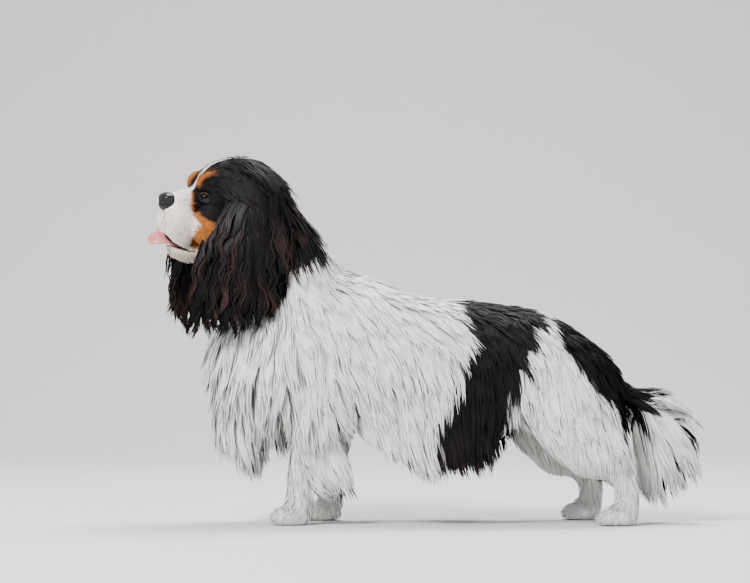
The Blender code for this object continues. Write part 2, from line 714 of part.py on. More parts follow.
# A hanging flap: an open sheet, hollow towards the head, that Solidify makes a shell
def ear(name, stations, side):
    rows = smooth_through(stations, 2)
    work = bmesh.new()
    grid = []
    for x, y, z, behind, before, curl in rows:
        line = []
        for k in range(EAR_COLUMNS + 1):
            across = 2 * k / EAR_COLUMNS - 1
            reach = behind if across > 0 else before
            line.append(work.verts.new((x + across * reach, y - side * curl * across**2, z)))
        grid.append(line)
    for upper, lower in zip(grid, grid[1:]):
        for k in range(EAR_COLUMNS):
            work.faces.new((upper[k], upper[k + 1], lower[k + 1], lower[k]))
    made = from_bmesh(name, work)
    shell = made.modifiers.new("Solidify", "SOLIDIFY")
    shell.thickness = EAR_THICKNESS * MM
    shell.offset = 0.0
    return applied(made)


def tree_of(objects):
    work = bmesh.new()
    for obj in objects:
        work.from_mesh(obj.data)
    bmesh.ops.scale(work, vec=(1 / MM,) * 3, verts=work.verts)
    tree = BVHTree.FromBMesh(work)
    work.free()
    return tree


# The way a lock runs from its root: along its lie, bending down, waving a little and kept clear of the body
def lock_path(root, normal, lie, length, lift, guard, draw):
    across = normal.cross(lie).normalized()
    wave, phase = draw.uniform(-1, 1), draw.uniform(0, math.tau)
    points = [root - normal * ROOT_DEPTH]
    heading, place = lie.normalized(), root.copy()
    for step in range(1, LOCK_STEPS + 1):
        share = step / LOCK_STEPS
        heading = (heading + Vector((0, 0, -LOCK_SAG)) * share).normalized()
        swing = across * (LOCK_WAVE * math.sin(phase + share * math.tau * LOCK_TURNS) + wave * LOCK_SWAY)
        place = place + (heading + swing).normalized() * length / LOCK_STEPS
        near, outward, _, distance = guard.find_nearest(place)
        if (place - near).dot(outward) < 0 or distance < lift:
            place = near + outward * lift
        place.z = max(place.z, LOCK_THICKNESS / 2 + FLOOR_CLEARANCE)
        points.append(place.copy())
    return points


# A flat strand of four-sided rings along a path, widest below its root and pointed at its tip
def lock(path, normal, width, guard):
    work = bmesh.new()
    rings = []
    last = len(path) - 1
    for k in range(last):
        share = k / last
        along = (path[k + 1] - path[max(k - 1, 0)]).normalized()
        face = guard.find_nearest(path[k])[1] if k else normal
        side = along.cross(face).normalized()
        face = side.cross(along)
        at_root, along_it, squared = LOCK_PROFILE
        half = width / 2 * (at_root + along_it * share + squared * share**2)
        flat = LOCK_THICKNESS / 2 * (1 - LOCK_THINNING * share)
        ring = (side * half, face * flat, side * -half, face * -flat)
        rings.append([work.verts.new(path[k] + offset) for offset in ring])
    tip = work.verts.new(path[last])
    for before, after in zip(rings, rings[1:]):
        for k in range(4):
            work.faces.new((before[k], before[k - 1], after[k - 1], after[k]))
    for k in range(4):
        work.faces.new((rings[-1][k], rings[-1][k - 1], tip))
    work.faces.new(rings[0])
    return from_bmesh("lock", work)


CASTS = {
    "+x": Vector((1, 0, 0)),
    "-x": Vector((-1, 0, 0)),
    "+y": Vector((0, 1, 0)),
    "-y": Vector((0, -1, 0)),
    "+z": Vector((0, 0, 1)),
    "-z": Vector((0, 0, -1)),
}


# A row on a pair of limbs or on both flanks is made once for each side
def both_sides(row):
    node, start, end, count, cast, lie, length, *rest = row
    if node in ("foreleg", "hindleg"):
        sides = [(-1, node + "_left", 0.0)]
        shift = RIGHT_FORE_SHIFT if node == "foreleg" else RIGHT_HIND_SHIFT
        sides.append((1, node + "_right", shift))
    elif cast == "y" or (node == "torso" and cast == "+z"):
        sides = [(-1, node, 0.0), (1, node, 0.0)]
    else:
        sides = [(1, node, 0.0)]
    for side, name, shift in sides:
        way = CASTS[cast] if cast != "y" else CASTS["-y"] * side
        ends = [Vector((x + shift, y * side, z)) for x, y, z in (start, end)]
        reach = length * RIGHT_FEATHER_SHARE if name == "foreleg_right" else length
        yield (name, *ends, count, way, lie, reach, *rest)


# One strand that keeps clear of the other nodes: while it meets one, it is drawn again shorter, narrower
# and higher
def free_lock(row, k, home, guard, neighbours, draw):
    name, start, end, count, way, lie, length, width, layer = row
    for retry in range(REDRAWS):
        share = (k + 0.5 + draw.uniform(-PLACE_SPREAD, PLACE_SPREAD)) / count
        hit, normal, _, _ = home.ray_cast(start.lerp(end, share), way)
        if hit is None:
            continue
        shrink = 1 - REDRAW_SHRINK * retry
        reach = length * (1 + draw.uniform(-LENGTH_SPREAD, LENGTH_SPREAD)) * shrink
        lift = LOCK_LIFT + layer * LAYER_STEP + (k % 2) * ALTERNATE_LIFT + retry * REDRAW_LIFT
        path = lock_path(hit, normal, Vector(lie), reach, lift, guard, draw)
        wide = width * draw.uniform(1 - WIDTH_SPREAD, 1 + WIDTH_SPREAD) * shrink
        strand = lock(path, normal, wide, guard)
        if not tree_of([strand]).overlap(neighbours):
            return strand
        removed(strand)
    return None


def locks_of(row, home, guard, neighbours, draw):
    strands = [free_lock(row, k, home, guard, neighbours, draw) for k in range(row[3])]
    return [strand for strand in strands if strand]


# One union of a node with a row of locks
def coated(obj, locks):
    if not locks:
        return obj
    strands = bpy.data.collections.new(obj.name + "_locks")
    bpy.context.scene.collection.children.link(strands)
    for strand in locks:
        bpy.context.scene.collection.objects.unlink(strand)
        strands.objects.link(strand)
    modifier = obj.modifiers.new("Locks", "BOOLEAN")
    modifier.operation = "UNION"
    modifier.operand_type = "COLLECTION"
    modifier.collection = strands
    modifier.solver = LOCK_SOLVER
    applied(obj)
    removed(*locks)
    bpy.data.collections.remove(strands)
    return keep_largest(obj)


# Does a step on a copy, again with the next attempt until it leaves a clean surface, and keeps the best
def attempted(obj, step):
    best, fewest = None, math.inf
    for attempt in range(ATTEMPTS):
        trial = step(copied(obj, "trial"), attempt)
        faults = faults_of(trial)
        if faults is not None and faults < fewest:
            if best:
                removed(best)
            best, fewest = trial, faults
        else:
            removed(trial)
        if fewest == 0:
            break
    if best is None:
        print("left out:", obj.name)
        return obj
    best.name = obj.name
    removed(obj)
    return best


# The nodes that carry locks, in the order they are coated, and the ones an ear's flap is cut clear of
COATED = [
    "foreleg_left", "foreleg_right", "hindleg_left", "hindleg_right", "tail", "neck", "torso", "chest",
    "ear_left", "ear_right",
]
BEHIND_EARS = ["head", "lower_jaw", "neck", "chest", "torso"]


# The other nodes a little fatter, as one surface that locks stay out of
def room_around(name, nodes):
    fat = [grown(obj, CUT_GAP) for other, obj in nodes.items() if other != name]
    tree = tree_of(fat)
    removed(*fat)
    return tree


# Where a union doesn't leave one clean surface its locks are drawn again, and a cut is made a little wider
def dressed_in_locks(nodes):
    cores = {name: obj for name, obj in nodes.items() if not name.startswith("eye")}
    bare = tree_of([obj for name, obj in cores.items() if not name.startswith("ear")])
    covered = tree_of(cores.values())
    rows = [row for written in LOCK_ROWS for row in both_sides(written)]
    for name in COATED:
        for other in BEHIND_EARS if name.startswith("ear") else ():

            def cut(trial, attempt, other=other):
                return cut_clear(trial, nodes[other], by=CUT_GAP + attempt * CUT_STEP)

            nodes[name] = attempted(nodes[name], cut)
        home = tree_of([nodes[name]])
        guard = covered if name.startswith("ear") else bare
        neighbours = room_around(name, nodes)
        for place, row in enumerate(rows):
            if row[0] == name:

                def add_row(trial, attempt, row=row, place=place):
                    draw = random.Random(LOCK_SEED + place * ATTEMPTS + attempt)
                    return coated(trial, locks_of(row, home, guard, neighbours, draw))

                nodes[name] = attempted(nodes[name], add_row)


# Every node gets its material and a place in the dog's collection. The origin is under the middle of the box
def finish(nodes):
    dog = bpy.data.collections.new("spaniel")
    bpy.context.scene.collection.children.link(dog)
    looks = {name: material(name, look) for name, look in LOOKS.items()}
    corners = np.array([v.co for obj in nodes.values() for v in obj.data.vertices])
    low, high = corners.min(axis=0), corners.max(axis=0)
    shift = Matrix.Translation((-(low[0] + high[0]) / 2, -(low[1] + high[1]) / 2, 0))
    for name, obj in nodes.items():
        obj.name = name
        obj.data.name = name
        obj.data.transform(shift)
        obj.data.materials.clear()
        obj.data.materials.append(looks[SLOTS[name]])
        obj.data.polygons.foreach_set("use_smooth", [True] * len(obj.data.polygons))
        obj.data.set_sharp_from_angle(angle=SHARP_ANGLE)
        for home in list(obj.users_collection):
            home.objects.unlink(obj)
        dog.objects.link(obj)


def main():
    for obj in list(bpy.data.objects):
        bpy.data.objects.remove(obj)
    nodes = parted_body()
    dressed_head(nodes)
    nodes["ear_left"] = ear("ear_left", EAR_LEFT, -1)
    nodes["ear_right"] = ear("ear_right", EAR_RIGHT, 1)
    dressed_in_locks(nodes)
    finish(nodes)


main()
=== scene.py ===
import math

import bmesh
import bpy
import numpy as np
from mathutils import Matrix, Vector
from mathutils.bvhtree import BVHTree
from mathutils.kdtree import KDTree


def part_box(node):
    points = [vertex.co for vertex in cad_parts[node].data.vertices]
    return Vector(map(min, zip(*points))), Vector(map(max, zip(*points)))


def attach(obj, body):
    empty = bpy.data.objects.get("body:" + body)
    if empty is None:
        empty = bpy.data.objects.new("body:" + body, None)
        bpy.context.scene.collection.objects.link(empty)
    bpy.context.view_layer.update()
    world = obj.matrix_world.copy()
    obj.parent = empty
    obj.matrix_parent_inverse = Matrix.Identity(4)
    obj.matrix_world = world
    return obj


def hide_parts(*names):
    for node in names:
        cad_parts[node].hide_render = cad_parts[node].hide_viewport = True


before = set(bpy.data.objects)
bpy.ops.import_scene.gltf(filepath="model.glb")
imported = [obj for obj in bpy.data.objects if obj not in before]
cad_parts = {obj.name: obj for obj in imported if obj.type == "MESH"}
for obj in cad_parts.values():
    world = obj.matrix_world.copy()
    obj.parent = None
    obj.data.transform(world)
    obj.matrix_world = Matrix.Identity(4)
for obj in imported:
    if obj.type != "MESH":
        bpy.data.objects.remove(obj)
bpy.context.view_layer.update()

# The drawing is in millimetres of a dog 310 high at the withers, its nose towards -X, its left side
# towards -Y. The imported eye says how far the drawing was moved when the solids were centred.
mm = 0.001
skullCentre = (-227.0, -6.0, 387.0)
headTurn = math.radians(22.5)
headRoll = math.radians(-6.0)
eye = {"centre": (44.5, 25.0, 2.5), "radius": 11.5, "turn": math.radians(40.0)}
draw = np.random.RandomState(7)


def headMatrix():
    forward = Vector((-math.cos(headTurn), -math.sin(headTurn), 0))
    roll = Matrix.Rotation(headRoll, 3, forward)
    left = roll @ Vector((math.sin(headTurn), -math.cos(headTurn), 0))
    up = roll @ Vector((0, 0, 1))
    return Matrix.Translation(skullCentre) @ Matrix((forward, left, up)).transposed().to_4x4()


head = headMatrix()
headRows = np.array(head)
headBack = np.array(head.inverted())
eyeLow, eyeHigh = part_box("eye_left")
packedEye = (np.array(eyeLow) + np.array(eyeHigh)) / 2
drawnEye = np.array(head @ Vector(eye["centre"])) * mm
shift = packedEye - drawnEye
toWorld = Matrix.Translation(shift) @ Matrix.Scale(mm, 4)


def report(*words):
    print("spaniel:", *words, flush=True)


# Small mesh helpers, all in drawing millimetres until a piece is finished

def addObject(name, data):
    made = bpy.data.objects.new(name, data)
    bpy.context.scene.collection.objects.link(made)
    return made


def fromBmesh(name, work, matrix=None):
    if matrix is not None:
        bmesh.ops.transform(work, matrix=matrix, verts=work.verts)
    bmesh.ops.recalc_face_normals(work, faces=work.faces)
    mesh = bpy.data.meshes.new(name)
    work.to_mesh(mesh)
    work.free()
    return addObject(name, mesh)


def dropped(*objects):
    for obj in objects:
        mesh = obj.data
        bpy.data.objects.remove(obj)
        bpy.data.meshes.remove(mesh)


def applied(obj):
    graph = bpy.context.evaluated_depsgraph_get()
    mesh = bpy.data.meshes.new_from_object(obj.evaluated_get(graph))
    old = obj.data
    obj.modifiers.clear()
    obj.data = mesh
    bpy.data.meshes.remove(old)
    return obj


def cutAway(obj, *cutters):
    for cutter in cutters:
        cut = obj.modifiers.new("Cut", "BOOLEAN")
        cut.operation = "DIFFERENCE"
        cut.solver = "MANIFOLD"
        cut.object = cutter
        applied(obj)
    dropped(*cutters)


def pointsOf(mesh):
    found = np.empty(len(mesh.vertices) * 3)
    mesh.vertices.foreach_get("co", found)
    return found.reshape(-1, 3)


def normalsOf(mesh):
    found = np.empty(len(mesh.vertices) * 3)
    mesh.vertices.foreach_get("normal", found)
    return found.reshape(-1, 3)


def movePoints(mesh, points):
    mesh.vertices.foreach_set("co", np.ascontiguousarray(points).ravel())
    mesh.update()


def smooth(mesh):
    mesh.polygons.foreach_set("use_smooth", np.ones(len(mesh.polygons), bool))


def signedPower(value, power):
    return math.copysign(abs(value) ** power, value)


# Catmull-Rom through the stations
def smoothThrough(stations, steps):
    rows = np.array(stations, float)
    padded = np.vstack([2 * rows[0] - rows[1], rows, 2 * rows[-1] - rows[-2]])
    found = []
    for i in range(1, len(padded) - 2):
        a, b, c, d = padded[i - 1 : i + 3]
        for t in np.arange(steps) / steps:
            bend = (2 * a - 5 * b + 4 * c - d) * t**2 + (3 * b - a - 3 * c + d) * t**3
            found.append(0.5 * (2 * b + (c - a) * t + bend))
    return np.array(found + [rows[-1]])


# Rings of unlike size along a line in an XZ plane: x, y, z, half width, depth behind, depth before
def loft(name, stations, sides=32, steps=5, square=2.0, matrix=None):
    rows = smoothThrough(stations, steps)
    tangents = np.gradient(rows[:, :3], axis=0)
    tangents[:, 1] = 0
    tangents /= np.linalg.norm(tangents, axis=1, keepdims=True)
    normals = np.cross(tangents, (0, 1, 0))
    work = bmesh.new()
    rings = []
    for row, normal in zip(rows, normals):
        ring = []
        for k in range(sides):
            angle = 2 * math.pi * k / sides
            across = signedPower(math.cos(angle), 2 / square)
            along = signedPower(math.sin(angle), 2 / square)
            depth = abs(row[4] if along > 0 else row[5]) * (-1 if row[4] < 0 else 1)
            corner = row[:3] + np.array((0, 1, 0)) * across * row[3] + normal * along * depth
            ring.append(work.verts.new(corner))
        rings.append(ring)
    for before, after in zip(rings, rings[1:]):
        for k in range(sides):
            work.faces.new((before[k], before[k - 1], after[k - 1], after[k]))
    work.faces.new(rings[0])
    work.faces.new(reversed(rings[-1]))
    return fromBmesh(name, work, matrix)


def ellipsoid(name, centre, radii, matrix=None, segments=32, rings=20):
    work = bmesh.new()
    bmesh.ops.create_uvsphere(work, u_segments=segments, v_segments=rings, radius=1.0)
    bmesh.ops.scale(work, vec=radii, verts=work.verts)
    bmesh.ops.translate(work, vec=centre, verts=work.verts)
    return fromBmesh(name, work, matrix)


# A closed outline in XZ pushed through from one side to the other
def prism(name, outline, halfWidth, matrix=None):
    work = bmesh.new()
    walls = [[work.verts.new((x, y, z)) for x, z in outline] for y in (-halfWidth, halfWidth)]
    work.faces.new(walls[0])
    work.faces.new(reversed(walls[1]))
    for k in range(len(outline)):
        work.faces.new((walls[0][k], walls[0][k - 1], walls[1][k - 1], walls[1][k]))
    return fromBmesh(name, work, matrix)


# The dog's form, as in the solids: lofts and ellipsoids that the skin fuses
form = {
    "trunk": [
        (-250, 0, 192, 26, 26, 40),
        (-232, 0, 198, 46, 44, 66),
        (-190, 0, 204, 64, 64, 82),
        (-135, 0, 206, 72, 82, 84),
        (-90, 0, 206, 75, 94, 84),
        (-40, 0, 200, 76, 79, 84),
        (20, 0, 195, 74, 74, 79),
        (80, 0, 190, 70, 73, 68),
        (130, 0, 184, 67, 70, 56),
        (175, 0, 174, 61, 52, 52),
        (208, 0, 160, 46, 36, 46),
        (230, 0, 148, 24, 14, 30),
    ],
    "neck": [
        (-135, 0, 225, 62, -70, -62),
        (-158, -1, 280, 57, -62, -58),
        (-184, -3, 325, 50, -56, -52),
        (-208, -5, 368, 45, -46, -44),
        (-222, -6, 392, 36, -30, -30),
    ],
    "tail": [
        (214, 0, 160, 17, 17, 17),
        (240, 0, 150, 15, 14, 14),
        (268, 0, 136, 12, 11, 11),
        (292, 0, 116, 9, 9, 9),
        (308, 0, 92, 7, 7, 7),
        (314, 0, 76, 3, 3, 3),
    ],
    "foreleg": [
        (-118, 44, 205, 18, 34, 34),
        (-124, 49, 160, 21, 30, 30),
        (-138, 48, 120, 18, 23, 22),
        (-149, 47, 84, 15, 17, 15),
        (-153, 46, 52, 13.5, 15, 13),
        (-154, 46, 28, 14, 16, 15),
        (-157, 46, 8, 15, 17, 16),
    ],
    "foreFoot": ((-163, 46, 9), (25, 19, 15)),
    "hindleg": [
        (140, 38, 190, 26, 50, 46),
        (158, 45, 150, 30, 52, 50),
        (172, 51, 116, 27, 46, 44),
        (196, 55, 88, 20, 32, 34),
        (222, 57, 68, 15, 21, 22),
        (234, 57, 46, 13, 15, 15),
        (233, 57, 24, 13, 16, 15),
        (229, 57, 8, 14, 17, 16),
    ],
    "hindFoot": ((222, 57, 9), (25, 18, 14)),
    "tailFrom": 238.0,
    "tailCoatFrom": 236.0,
    "tailCoatAbove": 30.0,
    "rightForeShift": 36.0,
    "rightHindShift": -34.0,
    "shiftTop": 175.0,  # height where a right leg's shift starts
    "straightBelow": 95.0,  # height below which it is whole
    "toe": (12.0, 5.6, 8.0),
    "toeReach": 15.0,
    "toeSlope": 0.45,  # how much the outer toes stand back
    "toeHeight": 7.5,
    "toePlaces": (-12.6, -4.4, 4.4, 12.6),
    "bib": ((-222, 0, 142), (30, 42, 48)),
    "sideFringe": ((5, 52, 122), (92, 18, 36)),
    "leftFeather": ((-126, 46, 84), (26, 12, 46)),
    "rightFeather": ((-112, 46, 84), (16, 12, 46)),
    "rightFeatherShare": 0.5,  # length of the right foreleg's coat over the left one's
    "breeches": ((200, 49, 116), (32, 19, 42)),
    "plume": ((272, 0, 116), (32, 13, 30)),
}
skull = {
    "skull": ((0, 0, 0), (59, 50, 53)),
    "brow": ((40, 17, 19), (19, 17, 14)),
    "orbit": ((33, 23, 0), (22, 19, 21)),
    "cheek": ((32, 27, -30), (34, 19, 32)),
    "flew": ((75, 12.5, -31), (23, 14.5, 26)),
    "bridge": [
        (38, 0, 4, 22, 12, 30),
        (58, 0, 1, 17, 12, 30),
        (76, 0, -2, 15, 11, 28),
        (90, 0, -9, 11, 7, 18),
        (95, 0, -13, 8, 4, 12),
    ],
    "jaw": [
        (8, 0, -46, 26, 20, 24),
        (34, 0, -57, 23, 16, 17),
        (58, 0, -62, 18, 14, 14),
        (73, 0, -61, 15, 12, 11),
        (81, 0, -57.5, 11, 8, 8),
        (86.5, 0, -54.5, 6, 4, 5),
    ],
    "mouth": [
        (58, -62.3), (74, -57.5), (86, -51), (101, -36), (120, -24), (120, -55), (90, -54.5), (72, -59.8),
    ],
    "mouthHalfWidth": 60.0,
    "philtrum": ((104, 0, -27), (8, 1.0, 12)),
}
earSheets = {
    "left": [
        (-204, -42, 414, 20, 16, 3),
        (-206, -54, 398, 31, 26, 8),
        (-209, -64, 370, 40, 33, 12),
        (-214, -69, 335, 44, 52, 13),
        (-219, -70, 305, 36, 54, 10),
        (-222, -70, 282, 22, 24, 6),
    ],
    "right": [
        (-238, 34, 414, 20, 16, 3),
        (-241, 46, 398, 31, 28, 8),
        (-245, 56, 370, 40, 38, 12),
        (-251, 62, 335, 44, 52, 13),
        (-256, 63, 305, 36, 50, 10),
        (-258, 62, 282, 22, 30, 6),
    ],
    "columns": 12,
    "thickness": 6.0,
}


def mirrored(spec, side, along=0.0):
    centre, radii = spec
    return (centre[0] + along, centre[1] * side, centre[2]), radii


def rightShare(height):
    return np.clip((form["shiftTop"] - height) / (form["shiftTop"] - form["straightBelow"]), 0, 1)


def legPieces(word, side, along):
    stations = []
    for x, y, z, half, behind, before in form[word + "leg"]:
        stations.append((x + along * float(rightShare(z)), y * side, z, half, behind, before))
    centre, radii = mirrored(form[word + "Foot"], side, along)
    pieces = [loft(word, stations), ellipsoid(word, centre, radii)]
    for across in form["toePlaces"]:
        reach = form["toeReach"] - abs(across) * form["toeSlope"]
        tip = (centre[0] - reach, centre[1] + across, form["toeHeight"])
        pieces.append(ellipsoid("toe", tip, form["toe"]))
    return pieces


def bodyPieces():
    pieces = [
        loft("trunk", form["trunk"], sides=48),
        loft("neck", form["neck"], sides=40),
        loft("tail", form["tail"]),
        ellipsoid("bib", *form["bib"]),
        ellipsoid("plume", *form["plume"]),
    ]
    for side, fore, hind in ((-1, 0, 0), (1, form["rightForeShift"], form["rightHindShift"] / 2)):
        pieces.append(ellipsoid("fringe", *mirrored(form["sideFringe"], side, fore / 2)))
        feather = form["leftFeather"] if side < 0 else form["rightFeather"]
        pieces.append(ellipsoid("feather", *mirrored(feather, side)))
        pieces.append(ellipsoid("breeches", *mirrored(form["breeches"], side, hind)))
    pieces += legPieces("fore", -1, 0) + legPieces("fore", 1, form["rightForeShift"])
    pieces += legPieces("hind", -1, 0) + legPieces("hind", 1, form["rightHindShift"])
    return pieces


def headPieces():
    pieces = [
        ellipsoid("skull", *skull["skull"], matrix=head),
        loft("bridge", skull["bridge"], matrix=head, square=2.3),
        loft("jaw", skull["jaw"], matrix=head, square=2.2),
    ]
    for side in (1, -1):
        for word in ("brow", "orbit", "cheek", "flew"):
            pieces.append(ellipsoid(word, *mirrored(skull[word], side), matrix=head))
    return pieces


def earPiece(word):
    side = -1 if word == "left" else 1
    rows = smoothThrough(earSheets[word], 3)
    columns = earSheets["columns"]
    work = bmesh.new()
    grid = []
    for x, y, z, behind, before, curl in rows:
        line = []
        for k in range(columns + 1):
            across = 2 * k / columns - 1
            reach = behind if across > 0 else before
            line.append(work.verts.new((x + across * reach, y - side * curl * across**2, z)))
        grid.append(line)
    for upper, lower in zip(grid, grid[1:]):
        for k in range(columns):
            work.faces.new((upper[k], upper[k + 1], lower[k + 1], lower[k]))
    made = fromBmesh("ear", work)
    shell = made.modifiers.new("Solidify", "SOLIDIFY")
    shell.thickness = earSheets["thickness"]
    shell.offset = 0.0
    return applied(made)


# One skin. Its zones are head, ears and body, by the form that lies nearest
zones = {"body": 0, "head": 1, "earLeft": 2, "earRight": 3}
skinLook = {
    "voxel": 1.7,
    "smoothing": 9,
    "share": 0.36,  # of the faces that stay
    "floor": 0.6,
    "bodyDepth": 4.0,
    "legDepth": 2.6,
    "legsBelow": 125.0,
    "legsBlend": 45.0,
    "headDepth": 2.4,
    "faceDepth": 0.7,
    "faceFrom": 18.0,
    "faceBlend": 22.0,
    "eyeCut": (7.4, 5.8, 26.0),  # half width, half height and depth of the opening
}


def zoneTree(groups):
    places, marks = [], []
    for word, pieces in groups.items():
        for piece in pieces:
            found = pointsOf(piece.data)
            places.append(found)
            marks += [zones[word]] * len(found)
    places = np.vstack(places)
    tree = KDTree(len(places))
    for k, place in enumerate(places):
        tree.insert(place, k)
    tree.balance()
    return tree, np.array(marks)


def zonesAt(places, tree, marks):
    return marks[[tree.find(place)[1] for place in places]]


def inHead(places):
    return places @ headBack[:3, :3].T + headBack[:3, 3]


# How far the skin lies inside the solids
def coatDepth(places, zone):
    legs = np.clip((skinLook["legsBelow"] - places[:, 2]) / skinLook["legsBlend"], 0, 1)
    depth = skinLook["bodyDepth"] * (1 - legs) + skinLook["legDepth"] * legs
    face = np.clip((inHead(places)[:, 0] - skinLook["faceFrom"]) / skinLook["faceBlend"], 0, 1)
    onHead = skinLook["headDepth"] * (1 - face) + skinLook["faceDepth"] * face
    depth = np.where(zone == zones["head"], onHead, depth)
    return np.where(zone >= zones["earLeft"], 0.0, depth)


def eyeCentre(side):
    forward, out, up = eye["centre"]
    return forward, out * side, up


def eyeMatrix(side):
    turn = Matrix.Rotation(side * eye["turn"], 4, "Z")
    return head @ Matrix.Translation(Vector(eyeCentre(side))) @ turn


def lidMatrix(side):
    return eyeMatrix(side) @ Matrix.Rotation(eyeLook["tilt"] * side, 4, "X")


def eyeHole(side):
    work = bmesh.new()
    bmesh.ops.create_cone(work, segments=40, radius1=1, radius2=1, depth=1, cap_ends=True)
    across, high, deep = skinLook["eyeCut"]
    stand = Matrix.Diagonal((1, across, high, 1)) @ Matrix.Rotation(math.pi / 2, 4, "Y")
    halfway = Matrix.Translation((deep / 2, 0, 0))
    reach = Matrix.Diagonal((deep, 1, 1, 1))
    return fromBmesh("eyeHole", work, lidMatrix(side) @ halfway @ reach @ stand)


def makeSkin():
    groups = {
        "body": bodyPieces(),
        "head": headPieces(),
        "earLeft": [earPiece("left")],
        "earRight": [earPiece("right")],
    }
    tree, marks = zoneTree(groups)
    work = bmesh.new()
    for pieces in groups.values():
        for piece in pieces:
            work.from_mesh(piece.data)
            dropped(piece)
    mesh = bpy.data.meshes.new("coatSkin")
    work.to_mesh(mesh)
    work.free()
    skin = addObject("coatSkin", mesh)
    remesh = skin.modifiers.new("Remesh", "REMESH")
    remesh.mode = "VOXEL"
    remesh.voxel_size = skinLook["voxel"]
    ease = skin.modifiers.new("Smooth", "SMOOTH")
    ease.factor = 0.5
    ease.iterations = skinLook["smoothing"]
    applied(skin)
    places = pointsOf(skin.data)
    zone = zonesAt(places, tree, marks)
    depth = coatDepth(places, zone)
    places = places - normalsOf(skin.data) * depth[:, None]
    movePoints(skin.data, places)
    mouth = prism("mouth", skull["mouth"], skull["mouthHalfWidth"], head)
    groove = ellipsoid("groove", *skull["philtrum"], matrix=head)
    cutAway(skin, mouth, groove, eyeHole(1), eyeHole(-1))
    fewer = skin.modifiers.new("Decimate", "DECIMATE")
    fewer.ratio = skinLook["share"]
    fewer.use_collapse_triangulate = True
    applied(skin)
    places = pointsOf(skin.data)
    places[:, 2] = np.maximum(places[:, 2], skinLook["floor"])
    movePoints(skin.data, places)
    zone = zonesAt(places, tree, marks)
    report("skin", len(skin.data.polygons), "faces")
    return skin, zone


# Soft changes over a place, between -1 and 1
def ripple(places, size, seed=0.0):
    a = np.sin(places @ np.array((1.0, 0.35, 0.6)) / size + seed)
    b = np.sin(places @ np.array((-0.45, 1.1, 0.8)) / size * 1.37 + 2.1 * seed + 1.0)
    c = np.sin(places @ np.array((0.7, -0.6, 1.2)) / size * 0.73 - seed + 2.0)
    return (a + b + c) / 3


# Signed distance from an outline in XZ, above 0 inside
def insideBy(places, outline):
    flat = places[:, (0, 2)]
    corners = np.array(outline, float)
    nearest = np.full(len(flat), np.inf)
    inside = np.zeros(len(flat), bool)
    for a, b in zip(corners, np.roll(corners, -1, axis=0)):
        edge = b - a
        share = np.clip(((flat - a) @ edge) / (edge @ edge), 0, 1)
        nearest = np.minimum(nearest, np.linalg.norm(flat - a - share[:, None] * edge, axis=1))
        crosses = (a[1] > flat[:, 1]) != (b[1] > flat[:, 1])
        rise = b[1] - a[1] if b[1] != a[1] else 1e-9
        inside ^= crosses & (flat[:, 0] < a[0] + (flat[:, 1] - a[1]) * edge[0] / rise)
    return np.where(inside, nearest, -nearest)


# Markings of the coat, drawn on the left flank; the right flank has its own, guessed
tricolour = {
    "white": (0.80, 0.79, 0.77),
    "black": (0.010, 0.009, 0.010),
    # brown tips of the black coat: partly the hair's own brown, partly a painted highlight standing in for
    # its sheen
    "brownTipsAndSheen": (0.095, 0.052, 0.043),
    "tan": (0.42, 0.155, 0.042),
    "cream": (0.74, 0.64, 0.53),
    "pinkWhite": (0.80, 0.72, 0.68),
    "grey": (0.36, 0.35, 0.35),
    # inside of the mouth: its own dark red, darkened further by painted shade of the open mouth
    "mouth": (0.045, 0.014, 0.012),
    "saddle": [
        (32, 340), (32, 272), (42, 242), (52, 224), (47, 192), (32, 174), (20, 156), (11, 128), (8, 101),
        (8, 40), (83, 40), (89, 96), (90, 128), (97, 156), (115, 182), (127, 211), (127, 232), (140, 236),
        (120, 266), (120, 340),
    ],
    "rump": [
        (146, 340), (145, 250), (155, 227), (160, 206), (175, 190), (188, 174), (196, 156), (221, 144),
        (228, 124), (233, 107), (246, 104), (250, 124), (257, 132), (264, 150), (262, 340),
    ],
    "neck": [
        (-128, 440), (-130, 340), (-122, 321), (-136, 312), (-154, 305), (-172, 298), (-192, 300),
        (-214, 330), (-226, 345), (-250, 440),
    ],
    "rightAlong": 14.0,  # how far back the right side's markings stand
    "rightBlend": 40.0,
    "edgeNoise": 3.0,
    "edgeSizes": (4.0, 11.0),
    "nape": (6.0, -126.0, 342.0),  # half width, backmost place and least height of its white
    "greyCurl": ((-120, 36), 13.0),
    "greyHock": ((237, 71), 7.0),
    "greyEdge": 8.0,
    "greyShare": 0.7,
}


def plainColour(colour, places):
    return np.tile(np.array(colour), (len(places), 1))


def mixed(under, over, share):
    return under * (1 - share[:, None]) + np.array(over) * share[:, None]


# How much of a marking shows, for a signed distance and a soft edge
def shown(distance, edge=1.2):
    return np.clip(distance / edge * 0.5 + 0.5, 0, 1)


def bodyColour(places):
    sought = places.copy()
    sought[:, 0] -= tricolour["rightAlong"] * np.clip(places[:, 1] / tricolour["rightBlend"], 0, 1)
    fine, coarse = tricolour["edgeSizes"]
    noise = tricolour["edgeNoise"]
    edge = ripple(places, fine) * noise + ripple(places, coarse, 3.0) * noise
    colour = plainColour(tricolour["white"], places)
    for word in ("saddle", "rump", "neck"):
        colour = mixed(colour, tricolour["black"], shown(insideBy(sought, tricolour[word]) + edge))
    half, back, low = tricolour["nape"]
    nape = np.minimum(half - np.abs(places[:, 1]), np.minimum(back - places[:, 0], places[:, 2] - low))
    colour = mixed(colour, tricolour["white"], shown(nape + edge * 0.4))
    for word in ("greyCurl", "greyHock"):
        centre, radius = tricolour[word]
        away = np.hypot(places[:, 0] - centre[0], places[:, 2] - centre[1])
        share = shown(radius - away, tricolour["greyEdge"]) * (places[:, 1] < 0) * tricolour["greyShare"]
        colour = mixed(colour, tricolour["grey"], share)
    return colour


